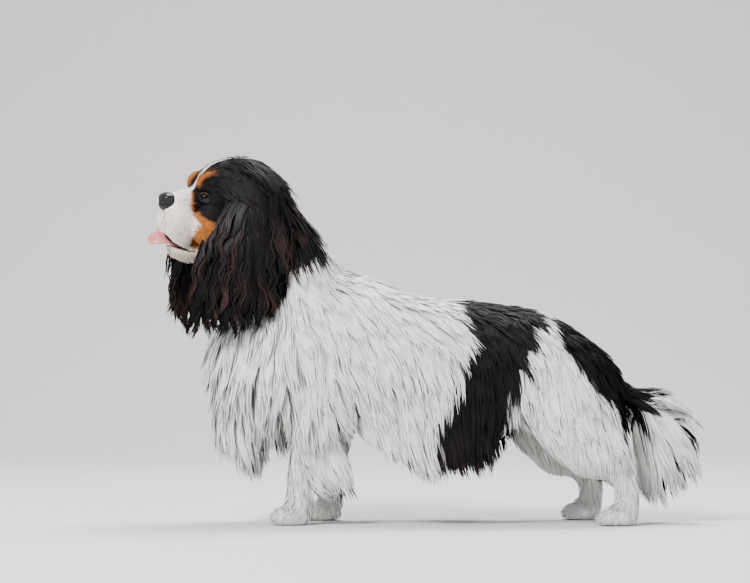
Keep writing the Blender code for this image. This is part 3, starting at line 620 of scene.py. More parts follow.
# Markings of the head, by forward, out and up from the skull's middle
faceMarks = {
    "edge": (2.6, 1.1),  # size and depth of their uneven edges
    "cheek": (-14.0, 24.0),  # the tan cheek's top and backmost place
    "cheekFall": (31.0, 0.85),  # how far out its top starts to fall, and how fast
    "strip": (61.5, 67.0, 7.0),  # tan beside the bridge of the nose: from, to and top
    "browSpot": ((17.5, 24.0), (8.0, 9.5)),
    "browFrom": 41.0,
    "muzzleUp": (-60, -52, -40, -27, -19, -1, 6, 14),
    "muzzleFrom": (64, 64.7, 65, 61, 64, 65.6, 65, 62),  # where its white starts, by height
    "bridge": (7.5, 9.0, -6.0),  # how much further back it starts there, half width and least height
    "blaze": (3.6, 1.0, 8.0, -8.0),  # half width, middle, least height and backmost place
    "freckleRows": (-22.0, -28.0, -34.0),
    "freckles": 5,
    "freckleFrom": 68.0,
    "freckleStep": (4.6, -1.2),
    "freckleShift": 1.6,  # of each row against the one above
    "freckleLook": (1.0, 1.4, 0.6),  # radius, soft edge and strength
    "freckleOut": 10.0,
    "jaw": (-56.0, 6.0),  # highest and backmost place of its cream
    "throat": (-50.0, 12.0),  # highest and foremost place of its white
}


def freckled(colour, forward, aside, up):
    radius, edge, strength = faceMarks["freckleLook"]
    along, down = faceMarks["freckleStep"]
    for row, height in enumerate(faceMarks["freckleRows"]):
        for k in range(faceMarks["freckles"]):
            start = faceMarks["freckleFrom"] + k * along + row * faceMarks["freckleShift"]
            away = np.hypot(forward - start, up - (height + k * down))
            dot = np.where(aside > faceMarks["freckleOut"], radius - away, -9.0)
            colour = mixed(colour, tricolour["grey"], shown(dot, edge) * strength)
    return colour


def faceColour(places):
    local = inHead(places)
    forward, aside, up = local[:, 0], np.abs(local[:, 1]), local[:, 2]
    size, depth = faceMarks["edge"]
    edge = ripple(places, size, 1.0) * depth
    colour = plainColour(tricolour["black"], places)
    top, back = faceMarks["cheek"]
    fallFrom, fall = faceMarks["cheekFall"]
    cheek = np.minimum(top - np.maximum(aside - fallFrom, 0) * fall - up, forward - back)
    start, end, top = faceMarks["strip"]
    strip = np.minimum(np.minimum(forward - start, top - up), end - forward)
    colour = mixed(colour, tricolour["tan"], shown(np.maximum(cheek, strip) + edge))
    spot, size = faceMarks["browSpot"]
    away = np.hypot((aside - spot[0]) / size[0], (up - spot[1]) / size[1])
    brow = np.minimum((1 - away) * size[0], forward - faceMarks["browFrom"])
    colour = mixed(colour, tricolour["tan"], shown(brow + edge, 2.5))
    further, half, low = faceMarks["bridge"]
    white = np.interp(up, faceMarks["muzzleUp"], faceMarks["muzzleFrom"])
    white = white - further * np.exp(-((aside / half) ** 2)) * (up > low)
    colour = mixed(colour, tricolour["pinkWhite"], shown(forward - white + edge * 0.8))
    half, middle, low, back = faceMarks["blaze"]
    blaze = np.minimum(half - np.abs(local[:, 1] - middle), up - low)
    colour = mixed(colour, tricolour["white"], shown(np.minimum(blaze + edge * 0.6, forward - back)))
    colour = freckled(colour, forward, aside, up)
    top, back = faceMarks["jaw"]
    colour = mixed(colour, tricolour["cream"], shown(np.minimum(top - up, forward - back) + edge))
    top, fore = faceMarks["throat"]
    return mixed(colour, tricolour["white"], shown(np.minimum(top - up, fore - forward) + edge))


def coatColour(places, zone):
    colour = bodyColour(places)
    onHead = zone == zones["head"]
    colour[onHead] = faceColour(places[onHead])
    colour[zone >= zones["earLeft"]] = tricolour["black"]
    return colour


# The lie of the coat, by places on the dog: x, out, z, then its way x, out, z, length, width and lift.
# Head places are forward, out, up from the skull's middle. Between them everything changes smoothly
lie = {
    "body": [
        (-100, 0, 300, 1.0, 0.3, -0.40, 26, 1.5, 4),
        (0, 0, 275, 1.0, 0.35, -0.1, 24, 1.5, 4),
        (90, 0, 262, 1.0, 0.35, -0.2, 24, 1.5, 4),
        (160, 0, 240, 0.8, 0.3, -0.6, 26, 1.5, 4),
        (225, 0, 165, 0.8, 0.3, -0.6, 34, 1.6, 5),
        (-120, 62, 250, 0.55, 0.15, -0.85, 38, 1.6, 6),
        (-40, 70, 235, 0.6, 0.1, -0.8, 34, 1.6, 5),
        (40, 70, 230, 0.65, 0.1, -0.75, 32, 1.6, 5),
        (110, 62, 225, 0.55, 0.1, -0.85, 32, 1.6, 5),
        (165, 55, 205, 0.4, 0.1, -0.9, 34, 1.6, 5),
        (-140, 70, 190, 0.3, 0.1, -1, 58, 1.7, 7),
        (-60, 74, 185, 0.45, 0.1, -0.92, 68, 1.7, 7),
        (20, 72, 180, 0.35, 0.05, -0.93, 68, 1.7, 7),
        (90, 66, 175, 0.12, 0.05, -0.98, 58, 1.7, 6),
        (150, 60, 165, 0.25, 0.1, -1, 36, 1.6, 5),
        (200, 50, 165, 0.45, 0.1, -0.9, 40, 1.7, 6),
        (-80, 64, 125, 0.5, 0.05, -0.9, 66, 1.9, 9),
        (-20, 66, 120, 0.25, 0, -1, 74, 1.9, 9),
        (50, 64, 118, 0.05, 0, -1, 70, 1.9, 9),
        (95, 58, 125, -0.05, 0, -1, 50, 1.8, 7),
        (-60, 30, 90, 0.3, 0, -1, 46, 1.8, 6),
        (40, 30, 92, 0.3, 0, -1, 46, 1.8, 6),
        (100, 28, 110, 0.4, 0, -0.8, 26, 1.6, 4),
        (-268, 20, 220, -0.35, 0.3, -1, 60, 1.9, 8),
        (-265, 30, 180, -0.3, 0.2, -1, 72, 1.9, 9),
        (-250, 30, 135, -0.1, 0.1, -1, 78, 1.9, 9),
        (-215, 35, 95, 0.2, 0.1, -1, 60, 1.7, 7),
        (-206, 18, 90, 0.25, 0.1, -1, 56, 1.7, 6),
        (-200, 60, 190, -0.15, 0.25, -1, 62, 1.9, 8),
        (-170, 65, 150, 0.1, 0.1, -1, 52, 1.8, 7),
        (-235, 30, 290, -0.3, 0.3, -1, 56, 1.8, 7),
        (-170, 52, 290, 0.1, 0.3, -1, 48, 1.7, 6),
        (-140, 35, 330, 0.5, 0.35, -0.8, 36, 1.6, 5),
        (-150, 0, 370, 0.6, 0.2, -0.8, 32, 1.6, 5),
        (-108, 0, 320, 0.8, 0.2, -0.6, 30, 1.6, 5),
        (-196, 30, 100, 0.1, 0.1, -1, 60, 1.8, 7),
        (-180, 48, 112, 0.05, 0.15, -1, 50, 1.6, 6),
        (-150, 64, 95, 0.3, 0.05, -1, 28, 1.3, 5),
        (-165, 47, 50, 0.12, 0.1, -1, 17, 1.1, 3.5),
        (-118, 46, 90, 0.5, 0, -1, 54, 1.7, 6),
        (-132, 46, 60, 0.5, 0, -1, 44, 1.6, 5),
        (-136, 46, 30, 0.85, 0, -0.6, 34, 1.4, 4),
        (-170, 46, 20, -0.6, 0.1, -0.8, 9, 0.9, 2.2),
        (-160, 62, 12, -0.4, 0.2, -0.9, 9, 0.9, 2.2),
        (-150, 34, 80, 0.2, 0, -1, 18, 1.2, 3),
        (160, 74, 140, 0.3, 0.05, -1, 32, 1.5, 5),
        (130, 60, 130, 0.35, 0.05, -1, 28, 1.5, 4),
        (150, 60, 100, 0.5, 0, -0.9, 26, 1.4, 4),
        (225, 50, 140, 0.35, 0.1, -1, 60, 1.8, 7),
        (215, 55, 100, 0.2, 0.05, -1, 52, 1.7, 6),
        (220, 68, 70, 0.2, 0, -1, 18, 1.2, 3),
        (244, 57, 60, 0.2, 0, -1, 24, 1.3, 3),
        (216, 57, 40, 0.1, 0.05, -1, 13, 1.0, 3),
        (248, 57, 30, 0.15, 0, -1, 18, 1.1, 3),
        (210, 57, 18, -0.6, 0.1, -0.8, 9, 0.9, 2.2),
        (170, 25, 110, 0.3, 0.1, -1, 38, 1.4, 7),
        (246, 0, 162, 1.0, 0.25, 0.05, 48, 1.6, 5),
        (268, 0, 150, 1.0, 0.25, 0.35, 50, 1.6, 7),
        (290, 0, 128, 1.0, 0.3, 0.1, 46, 1.6, 7),
        (308, 0, 100, 0.75, 0.3, -0.8, 52, 1.6, 6),
        (314, 0, 80, 0.4, 0.2, -1, 54, 1.6, 6),
        (285, 14, 120, 0.75, 0.25, -0.8, 66, 1.7, 8),
        (255, 14, 122, 0.3, 0.2, -1, 84, 1.7, 8),
        (262, 0, 95, 0.02, 0.1, -1, 78, 1.7, 7),
        (290, 0, 90, 0.4, 0.1, -1, 64, 1.7, 7),
    ],
    "head": [
        (75, 0, 2, -1, 0.15, 0.1, 4, 0.7, 0.7),
        (80, 22, -20, -0.8, 0.3, -0.5, 5, 0.75, 0.8),
        (93, 8, -22, -0.3, 0.6, -0.8, 4.5, 0.7, 0.7),
        (78, 18, -48, -0.6, 0.2, -0.8, 7, 0.8, 1.0),
        (60, 36, -25, -0.8, 0.3, -0.5, 8, 0.8, 1.0),
        (57, 2, 14, -0.5, 0.1, 0.9, 5, 0.75, 0.8),
        (50, 22, 27, -0.6, 0.5, 0.7, 10, 0.85, 1.2),
        (42, 5, 36, -0.75, 0.2, 0.6, 10, 0.85, 1.2),
        (12, 6, 53, -0.9, 0.6, 0.1, 32, 1.1, 3.0),
        (18, 28, 46, -0.6, 0.6, -0.5, 50, 1.2, 4.5),
        (-35, 10, 40, -0.9, 0.35, -0.5, 38, 1.3, 4.5),
        (-8, 28, 46, -0.35, 0.7, -0.6, 62, 1.3, 6.0),
        (15, 42, 30, -0.4, 0.35, -0.9, 62, 1.3, 5.0),
        (32, 38, 22, -0.6, 0.35, -0.75, 46, 1.1, 4.0),
        (46, 40, 2, -0.9, 0.3, -0.3, 6, 0.8, 0.9),
        (56, 27, -10, -0.7, 0.4, -0.6, 5, 0.75, 0.8),
        (35, 45, -35, -0.8, 0.15, -0.5, 9, 0.9, 1.2),
        (60, 18, -66, -0.8, 0.15, -0.8, 14, 0.9, 2.4),
        (84, 4, -64, -0.6, 0.1, -0.9, 10, 0.85, 1.8),
        (20, 15, -75, -0.7, 0.1, -0.6, 16, 1.1, 2.0),
        (58, 10, 8, -0.3, 0.3, 0.9, 4, 0.7, 0.7),
    ],
    "ear": [
        (-204, -45, 412, -0.12, -0.55, -0.85, 64, 1.7, 6),
        (-235, -62, 372, -0.3, -0.1, -1, 84, 1.8, 7),
        (-180, -66, 372, 0.12, -0.1, -1, 80, 1.8, 7),
        (-255, -68, 335, -0.22, 0, -1, 78, 1.8, 7),
        (-185, -70, 330, 0.1, 0, -1, 76, 1.8, 7),
        (-245, -70, 298, -0.05, 0, -1, 66, 1.8, 6),
        (-195, -70, 290, 0.02, 0, -1, 60, 1.8, 6),
    ],
}
lieSoftness = 9.0  # how softly the rows run into each other
lieZones = {
    "body": (zones["body"],),
    "head": (zones["head"],),
    "ear": (zones["earLeft"], zones["earRight"]),
}
earAlong, earAside = 35.0, 8.0  # the right ear's place against the left one's mirror image
legSpans = {"fore": (-190, -40), "hind": (70, 262)}  # from x to x, where the right legs' shift counts
legOut = 12.0  # and how far out it starts


# Every zone's places folded on to its left half, and the signs and turn that bring a way back
def foldedPlaces(places, word):
    if word == "head":
        local = inHead(places)
        sign = np.sign(local[:, 1] + 1e-6)
        local[:, 1] = np.abs(local[:, 1])
        return local, sign
    found = places.copy()
    if word == "ear":
        right = places[:, 1] > 0
        found[right, 0] += earAlong
        found[right, 1] = -found[right, 1] - earAside
        return found, np.where(right, -1.0, 1.0)
    share = rightShare(places[:, 2]) * (places[:, 1] > legOut)
    fore, hind = [(places[:, 0] > start) & (places[:, 0] < end) for start, end in legSpans.values()]
    found[:, 0] -= share * (fore * form["rightForeShift"] + hind * form["rightHindShift"])
    found[:, 1] = np.abs(found[:, 1])
    return found, np.sign(places[:, 1] + 1e-6)


legRooms = {  # where a leg's coat grows: from x to x, least out and greatest height
    "fore": (-196, -84, 27, 124),
    "hind": (118, 262, 8, 122),
}
headCap = {  # longest coat on the head
    "low": 9.0,  # lower than the eyes, at the front
    "lowBelow": 8.0,
    "growth": 0.35,  # how much longer it may be for each step back
    "growthFrom": (25.0, 60.0),
    "chin": (-56.0, 6.0),  # below this height it may be so much longer
    "brow": 12.0,
    "browFrom": 40.0,
    "crown": 90.0,
}


def inLegRoom(folded, word):
    start, end, out, top = legRooms[word]
    along, aside, up = folded.T
    return (along > start) & (along < end) & (aside > out) & (up < top)


def capAt(local):
    start, most = headCap["growthFrom"]
    chin, more = headCap["chin"]
    low = headCap["low"] + np.clip(start - local[:, 0], 0, most) * headCap["growth"]
    low = low + more * (local[:, 2] < chin)
    high = np.where(local[:, 0] > headCap["browFrom"], headCap["brow"], headCap["crown"])
    return np.where(local[:, 2] < headCap["lowBelow"], low, high)


# Way, length, width and lift of the coat at some places
def coatAt(places, zone):
    way = np.zeros((len(places), 3))
    sizes = np.zeros((len(places), 3))
    for word, marks in lieZones.items():
        here = np.isin(zone, marks)
        if not here.any():
            continue
        found, sign = foldedPlaces(places[here], word)
        table = np.array(lie[word], float)
        apart = ((found[:, None, :] - table[None, :, :3]) ** 2).sum(axis=2)
        weight = 1 / (apart + lieSoftness) ** 2
        weight /= weight.sum(axis=1, keepdims=True)
        mix = weight @ table[:, 3:]
        if word == "body":
            short = (sign > 0) & inLegRoom(found, "fore")
            mix[:, 3] *= np.where(short, form["rightFeatherShare"], 1)
        if word == "head":
            mix[:, 3] = np.minimum(mix[:, 3], capAt(found))
        mix[:, 1] *= sign
        way[here] = mix[:, :3] @ headRows[:3, :3].T if word == "head" else mix[:, :3]
        sizes[here] = mix[:, 3:]
    return way, sizes


def unit(ways):
    return ways / np.maximum(np.linalg.norm(ways, axis=1, keepdims=True), 1e-9)


# Tufts. Guides grow along the lie, and the tufts round each follow it and meet towards its tip
coat = {
    "spacing": {"short": 2.7, "long": 3.0, "face": 1.5, "ear": 2.75},
    "guideSpacing": {"short": 9.0, "long": 14.0, "face": 4.0, "ear": 11.0},
    "clump": {"short": 0.4, "long": 0.45, "face": 0.3, "ear": 0.86},
    "longFrom": 33.0,  # length from which the coat is spaced as long
    "faceBelow": 11.5,  # and below which as on the face
    "tries": 2.4,  # random places for each cell
    "strays": 0.06,
    "strayClump": 0.1,
    "loose": (0.025, 0.10),  # how far a tip stands off, in lengths, and a stray one's
    "rings": (2, 3, 5),
    "earRings": 10,
    "tailCloser": 0.6,  # the plume's tufts stand this much closer
    "rungs": (13.0, 36.0),  # lengths that part short, middle and long tufts
    "relief": (1.0, 0.5, 0.26),  # how much the roundness of short, middle and long tufts shows
    "guideSteps": 15,
    "keepHeading": 0.6,
    "rootWay": (0.9, 0.10),  # how much of the lie's slope off the skin goes, and what comes instead
    "leastLift": (0.45, 0.2),  # on the body and on the ears
    "liftBy": 2.2,  # how many times faster than the length the lift grows
    "hug": (22.0, 30.0, 0.8),  # longer hair lies less close: from, over and at most
    "sag": 0.10,
    "sagLength": 40.0,  # shorter hair sags less
    "earWave": 0.85,
    "earPeriod": 34.0,
    "earTop": 403.0,  # above it the crown's hair covers the ear's edge
    "earCalm": (405.0, 60.0, 0.15),  # ears wave less near their top: from, over and at least
    "bodyWave": 0.24,
    "bodyTurns": 0.9,
    "rootWave": (0.35, 0.05),  # share of the wave at the root, on the body and on the ears
    "phase": (17.0, 6.0, 0.7),  # size and reach of what neighbours share, and each guide's own part
    "follow": (0.15, 1.1),  # least and greatest length against the guide's
    "lengthShare": (0.78, 1.06),  # of that length, at random
    "clumpSpread": (0.75, 1.1),
    "clumpMost": 0.96,
    "widthSpread": (0.75, 1.25),
    "thinnest": 0.05,
    "flat": 0.42,
    "twist": 0.5,
    "profile": (0.62, 1.1, -1.45),  # a tuft's half width along its length
    "rootSink": 1.0,
    "patch": 0.003,
    "piece": 185000,  # most triangles in one piece
    "lengthSpread": 0.16,
    "floor": 1.6,
    "guideFloor": 2.2,
    "bareBelow": 3.0,
    "bareNose": ((88, 0, -6), (11.5, 15, 13.5)),
    "bareMouth": 1.6,
    "quick": (1.8, 1.7),
}
hem = {  # lowest tips of the long coat along the body: x and z
    "left": [
        (-290, 170), (-268, 120), (-252, 90), (-242, 76), (-228, 50), (-206, 50), (-186, 58), (-160, 70),
        (-120, 84), (-101, 98), (-83, 88), (-64, 78), (-43, 65), (-8, 50), (21, 58), (52, 60), (83, 73),
        (92, 98), (110, 96), (120, 80), (150, 52), (230, 52),
    ],
    "noise": 7.0,
    "noiseSize": 3.2,
    "shortest": 12.0,
    "until": 118.0,  # behind it the coat isn't trimmed
}


def skinTriangles(skin):
    mesh = skin.data
    mesh.calc_loop_triangles()
    corners = np.empty(len(mesh.loop_triangles) * 3, int)
    mesh.loop_triangles.foreach_get("vertices", corners)
    loops = np.empty(len(mesh.loop_triangles) * 3, int)
    mesh.loop_triangles.foreach_get("loops", loops)
    flat = np.empty(len(mesh.loops) * 2)
    mesh.uv_layers["OFBake"].data.foreach_get("uv", flat)
    return corners.reshape(-1, 3), flat.reshape(-1, 2)[loops.reshape(-1, 3)]


def skinTree(skin):
    mesh = skin.data
    corners, _ = skinTriangles(skin)
    return BVHTree.FromPolygons(pointsOf(mesh).tolist(), corners.tolist())


# Random places on the skin, at most one in each small cell, with their normals, zones and unwrapped places
def scatter(skin, zone, spacings):
    corners, unwrapped = skinTriangles(skin)
    places, normals = pointsOf(skin.data), normalsOf(skin.data)
    three = places[corners]
    area = np.linalg.norm(np.cross(three[:, 1] - three[:, 0], three[:, 2] - three[:, 0]), axis=1) / 2
    middle = three.mean(axis=1)
    triangleZone = zone[corners[:, 0]]
    spacing = byKind(spacings, middle, triangleZone)
    counts = np.floor(area * coat["tries"] / spacing**2 + draw.rand(len(area))).astype(int)
    picked = np.repeat(np.arange(len(area)), counts)
    picked = picked[draw.permutation(len(picked))]
    u, v = draw.rand(2, len(picked))
    over = u + v > 1
    u[over], v[over] = 1 - u[over], 1 - v[over]
    share = np.stack((1 - u - v, u, v), axis=1)
    roots = (three[picked] * share[:, :, None]).sum(axis=1)
    outward = unit((normals[corners[picked]] * share[:, :, None]).sum(axis=1))
    flat = (unwrapped[picked] * share[:, :, None]).sum(axis=1)
    step = spacing[picked]
    cells = np.floor(roots / step[:, None]).astype(np.int64)
    key = np.concatenate((cells, np.round(step * 100)[:, None].astype(np.int64)), axis=1)
    _, first = np.unique(key, axis=0, return_index=True)
    return {
        "root": roots[first],
        "normal": outward[first],
        "flat": flat[first],
        "zone": triangleZone[picked[first]],
        "spacing": step[first],
    }


def kindAt(places, zone):
    _, sizes = coatAt(places, zone)
    kind = np.where(sizes[:, 0] > coat["longFrom"], 1, 0)
    kind = np.where(sizes[:, 0] < coat["faceBelow"], 2, kind)
    return np.where(zone >= zones["earLeft"], 3, kind)


def byKind(table, places, zone):
    kinds = np.array([table[word] for word in ("short", "long", "face", "ear")])
    found = kinds[kindAt(places, zone)]
    return np.where(places[:, 0] > form["tailFrom"], found * coat["tailCloser"], found)


# No hair grows from the mouth, the nose, the eyes or the soles
def growsHair(places, zone):
    local = inHead(places)
    earTop = (zone >= zones["earLeft"]) & (places[:, 2] > coat["earTop"])
    keep = (places[:, 2] > coat["bareBelow"]) & ~earTop
    wide, high, deep = eyeLook["bare"]
    for side in (1, -1):
        back = np.array(lidMatrix(side).inverted())
        seen = places @ back[:3, :3].T + back[:3, 3]
        opening = np.hypot(seen[:, 1] / wide, seen[:, 2] / high)
        keep &= (opening > 1) | (seen[:, 0] < 0) | (seen[:, 0] > deep)
    middle, radii = coat["bareNose"]
    keep &= np.linalg.norm((local - np.array(middle)) / np.array(radii), axis=1) > 1.0
    return keep & ~inMouth(local, coat["bareMouth"])


def inMouth(local, by):
    return insideBy(local, skull["mouth"]) > -by


# The skin's normal nearest to each place, and how far out from the skin the place is
def nearestSkin(places, tree):
    near = np.empty_like(places)
    outward = np.empty_like(places)
    for k, place in enumerate(places):
        hit, normal, _, _ = tree.find_nearest(place)
        near[k], outward[k] = hit, normal
    return outward, ((places - near) * outward).sum(axis=1)


def hemAt(places):
    rows = np.array(hem["left"], float)
    return np.interp(places[:, 0], rows[:, 0], rows[:, 1])


# Long body hair ends near the hem, wherever it starts
def trimmed(roots, zone, length):
    drop = roots[:, 2] - hemAt(roots) - hem["noise"] * ripple(roots, hem["noiseSize"], 5.0) * 1.3
    most = np.maximum(drop * 1.06, hem["shortest"])  # a slanting lock is a little longer than its drop
    torso = (zone == zones["body"]) & ~isLeg(roots) & (roots[:, 0] < hem["until"])
    return np.where(torso, np.minimum(length, most), length)


def isLeg(places):
    folded, _ = foldedPlaces(places, "body")
    return inLegRoom(folded, "fore") | inLegRoom(folded, "hind")


def growGuides(guides, tree):
    roots, normals, zone = guides["root"], guides["normal"], guides["zone"]
    count = len(roots)
    way, sizes = coatAt(roots, zone)
    length = trimmed(roots, zone, sizes[:, 0])
    length = length * (1 + coat["lengthSpread"] * draw.uniform(-1, 1, count))
    ear = zone >= zones["earLeft"]
    bodyLeast, earLeast = coat["leastLift"]
    lift = sizes[:, 2] * draw.uniform(np.where(ear, earLeast, bodyLeast), 1.0, count)
    wave = np.where(ear, coat["earWave"], coat["bodyWave"])
    turns = np.where(ear, length / coat["earPeriod"], coat["bodyTurns"])
    bodyRoot, earRoot = coat["rootWave"]
    rootWave = np.where(ear, earRoot, bodyRoot)
    size, reach, own = coat["phase"]
    phase = ripple(roots, size, 2.0) * reach + draw.uniform(-own, own, count)
    start, over, most = coat["hug"]
    hug = np.clip(1 - (length - start) / over, 0, most)
    flatten, rise = coat["rootWay"]
    slope = (way * normals).sum(axis=1, keepdims=True)
    heading = unit(way - normals * slope * flatten + normals * rise)
    across = unit(np.cross(normals, heading))
    points = [roots - normals * coat["rootSink"]]
    tip = roots.copy()
    steps = coat["guideSteps"]
    calmFrom, calmOver, calmLeast = coat["earCalm"]
    for step in range(1, steps + 1):
        share = step / steps
        want, _ = coatAt(tip, zone)
        heading = unit(heading * coat["keepHeading"] + unit(want) * (1 - coat["keepHeading"]))
        heading[:, 2] -= coat["sag"] * share * np.clip(length / coat["sagLength"], 0, 1)
        calm = np.clip((calmFrom - tip[:, 2]) / calmOver, calmLeast, 1)
        grown = wave * (rootWave + (1 - rootWave) * share) * np.where(ear, calm, 1)
        swing = across * (np.cos(phase + turns * math.tau * share) * grown)[:, None]
        tip = tip + unit(heading + swing) * (length / steps)[:, None]
        outward, height = nearestSkin(tip, tree)
        wanted = lift * min(1.0, share * coat["liftBy"])
        push = np.maximum(wanted - height, 0) - np.maximum(height - wanted, 0) * hug
        tip = tip + outward * push[:, None]
        tip[:, 2] = np.maximum(tip[:, 2], coat["guideFloor"])
        points.append(tip.copy())
    guides["path"] = np.stack(points, axis=1)
    guides["length"] = length


def nearestGuide(tufts, guides):
    owner = np.zeros(len(tufts["root"]), int)
    for mark in zones.values():
        mine = np.flatnonzero(guides["zone"] == mark)
        tree = KDTree(len(mine))
        for k in mine:
            tree.insert(guides["root"][k], k)
        tree.balance()
        here = np.flatnonzero(tufts["zone"] == mark)
        owner[here] = [tree.find(root)[1] for root in tufts["root"][here]]
    return owner


# Each tuft runs as its nearest guide does, drawn in towards that guide's tip
def followGuides(tufts, guides):
    owner = nearestGuide(tufts, guides)
    roots, zone = tufts["root"], tufts["zone"]
    count = len(owner)
    _, sizes = coatAt(roots, zone)
    own = trimmed(roots, zone, sizes[:, 0]) / guides["length"][owner]
    shrink = np.clip(own, *coat["follow"]) * draw.uniform(*coat["lengthShare"], count)
    shrink = shrink[:, None, None]
    share = np.linspace(0, 1, guides["path"].shape[1])[None, :, None]
    offset = roots - guides["root"][owner]
    stray = draw.rand(count) < coat["strays"]
    clump = np.where(stray, coat["strayClump"], byKind(coat["clump"], roots, zone))
    clump = clump * draw.uniform(*coat["clumpSpread"], count)
    clump = np.minimum(clump, coat["clumpMost"])[:, None, None]
    path = guides["path"][owner]
    base = path[:, :1]
    path = base + (path - base) * shrink
    path = path + offset[:, None, :] * (1 - clump * share**1.2)
    calm, wild = coat["loose"]
    loose = draw.uniform(-1, 1, (count, 1, 3)) * np.where(stray, wild, calm)[:, None, None]
    tufts["length"] = guides["length"][owner] * shrink[:, 0, 0]
    path = path + loose * share**1.5 * tufts["length"][:, None, None]
    path[:, :, 2] = np.maximum(path[:, :, 2], coat["floor"])
    tufts["path"] = path
    tufts["width"] = sizes[:, 1] * draw.uniform(*coat["widthSpread"], count)


# Points along a path at even shares of it
def resampled(path, count):
    steps = path.shape[1] - 1
    at = np.linspace(0, steps, count)
    low = np.minimum(at.astype(int), steps - 1)
    share = (at - low)[None, :, None]
    return path[:, low] * (1 - share) + path[:, low + 1] * share


# The faces of one tuft: an end at its root, its three sides and a point
def tuftFaces(rings):
    faces = [(0, 1, 2)]
    for k in range(rings - 1):
        for j in range(3):
            a, b = k * 3 + j, k * 3 + (j + 1) % 3
            faces += [(a, b + 3, b), (a, a + 3, b + 3)]
    for j in range(3):
        faces.append(((rings - 1) * 3 + j, rings * 3, (rings - 1) * 3 + (j + 1) % 3))
    return np.array(faces)


# The values of each ring's three points, then those of the tip
def ringsAndTip(ringValues, tipValues):
    count, rings = ringValues.shape[:2]
    return np.concatenate((ringValues.reshape(count, rings * 3, 3), tipValues), axis=1)


# Thin three-sided tufts with a point at each tip, all in a few arrays
def tuftMesh(tufts, rings, relief):
    path = resampled(tufts["path"], rings + 1)
    count = len(path)
    along = np.gradient(path, axis=1)
    along /= np.maximum(np.linalg.norm(along, axis=2, keepdims=True), 1e-9)
    across = unit(np.cross(path[:, -1] - path[:, 0], tufts["normal"]))
    side = across[:, None, :] - along * (along * across[:, None, :]).sum(axis=2, keepdims=True)
    side /= np.maximum(np.linalg.norm(side, axis=2, keepdims=True), 1e-9)
    plain = np.cross(side, along)
    twist = draw.uniform(-coat["twist"], coat["twist"], (count, 1, 1))
    face = plain * np.cos(twist) - side * np.sin(twist)
    side = side * np.cos(twist) + plain * np.sin(twist)
    share = np.linspace(0, 1, rings + 1)
    start, swell, taper = coat["profile"]
    half = tufts["width"][:, None] / 2 * (start + swell * share + taper * share**2)[None, :]
    half = np.maximum(half, coat["thinnest"])[:, :, None]
    ring = np.stack((
        path - side * half - face * half * coat["flat"] * 0.5,
        path + side * half - face * half * coat["flat"] * 0.5,
        path + face * half * coat["flat"],
    ), axis=2)[:, :rings]
    points = ringsAndTip(ring, path[:, -1:])
    faces = tuftFaces(rings)
    firsts = np.arange(count) * (rings * 3 + 1)
    down = np.append(np.repeat(share[:rings], 3), 1.0)
    sideways = np.append(np.tile((-1.0, 1.0, 0.0), rings), 0.0)
    flat = np.stack((
        tufts["flat"][:, 0, None] + sideways[None, :] * coat["patch"] / 2,
        tufts["flat"][:, 1, None] + (down[None, :] - 0.5) * coat["patch"],
    ), axis=2)
    # A tuft is shaded as the coat lies, and its roundness only shows a little
    own = np.stack((-side - face * 0.5, side - face * 0.5, face), axis=2)[:, :rings]
    own = ringsAndTip(own, face[:, -1:])
    plain = np.concatenate((np.repeat(plain[:, :rings], 3, axis=1), plain[:, -1:]), axis=1)
    under = np.isin(faces, (0, 1, rings * 3)) | (faces % 3 < 2)
    under = under.all(axis=1)[None, :, None, None]
    shaded = np.where(under, -plain[:, faces], plain[:, faces]) + own[:, faces] * relief
    return {
        "points": points.reshape(-1, 3),
        "faces": (faces[None] + firsts[:, None, None]).reshape(-1, 3),
        "flat": flat.reshape(-1, 2),
        "shaded": unit(shaded.reshape(-1, 3)),
        "down": np.tile(down, count),
    }


tuftLook = {
    "speck": 1.6,  # how far beside it a tuft may take its colour from
    "speckFrom": 14.0,  # least length for that
    "along": 0.35,  # share of a tuft where its marking is looked up
    "alongFrom": 20.0,  # least length for that, shorter ones go by their roots
    "dark": 0.25,  # three channels together below this are black coat
    "white": 0.5,  # and each above this white coat
    "rootShade": {"white": (0.82, 2.2), "dark": (0.7, 2.0)},  # painted shade: light left at the root and how fast it grows along the tuft
    "tones": {"face": 0.11, "white": 0.055, "dark": 0.16},  # how unlike each other tufts are
    "warmSize": 9.0,
    "warmOnHead": 0.25,
    "warmBack": (-60.0, 150.0, 50.0, 0.1),  # behind this place the brown tips and their painted sheen fade above this height
    "warmFrom": 0.35,
    "warmMost": 0.75,
}
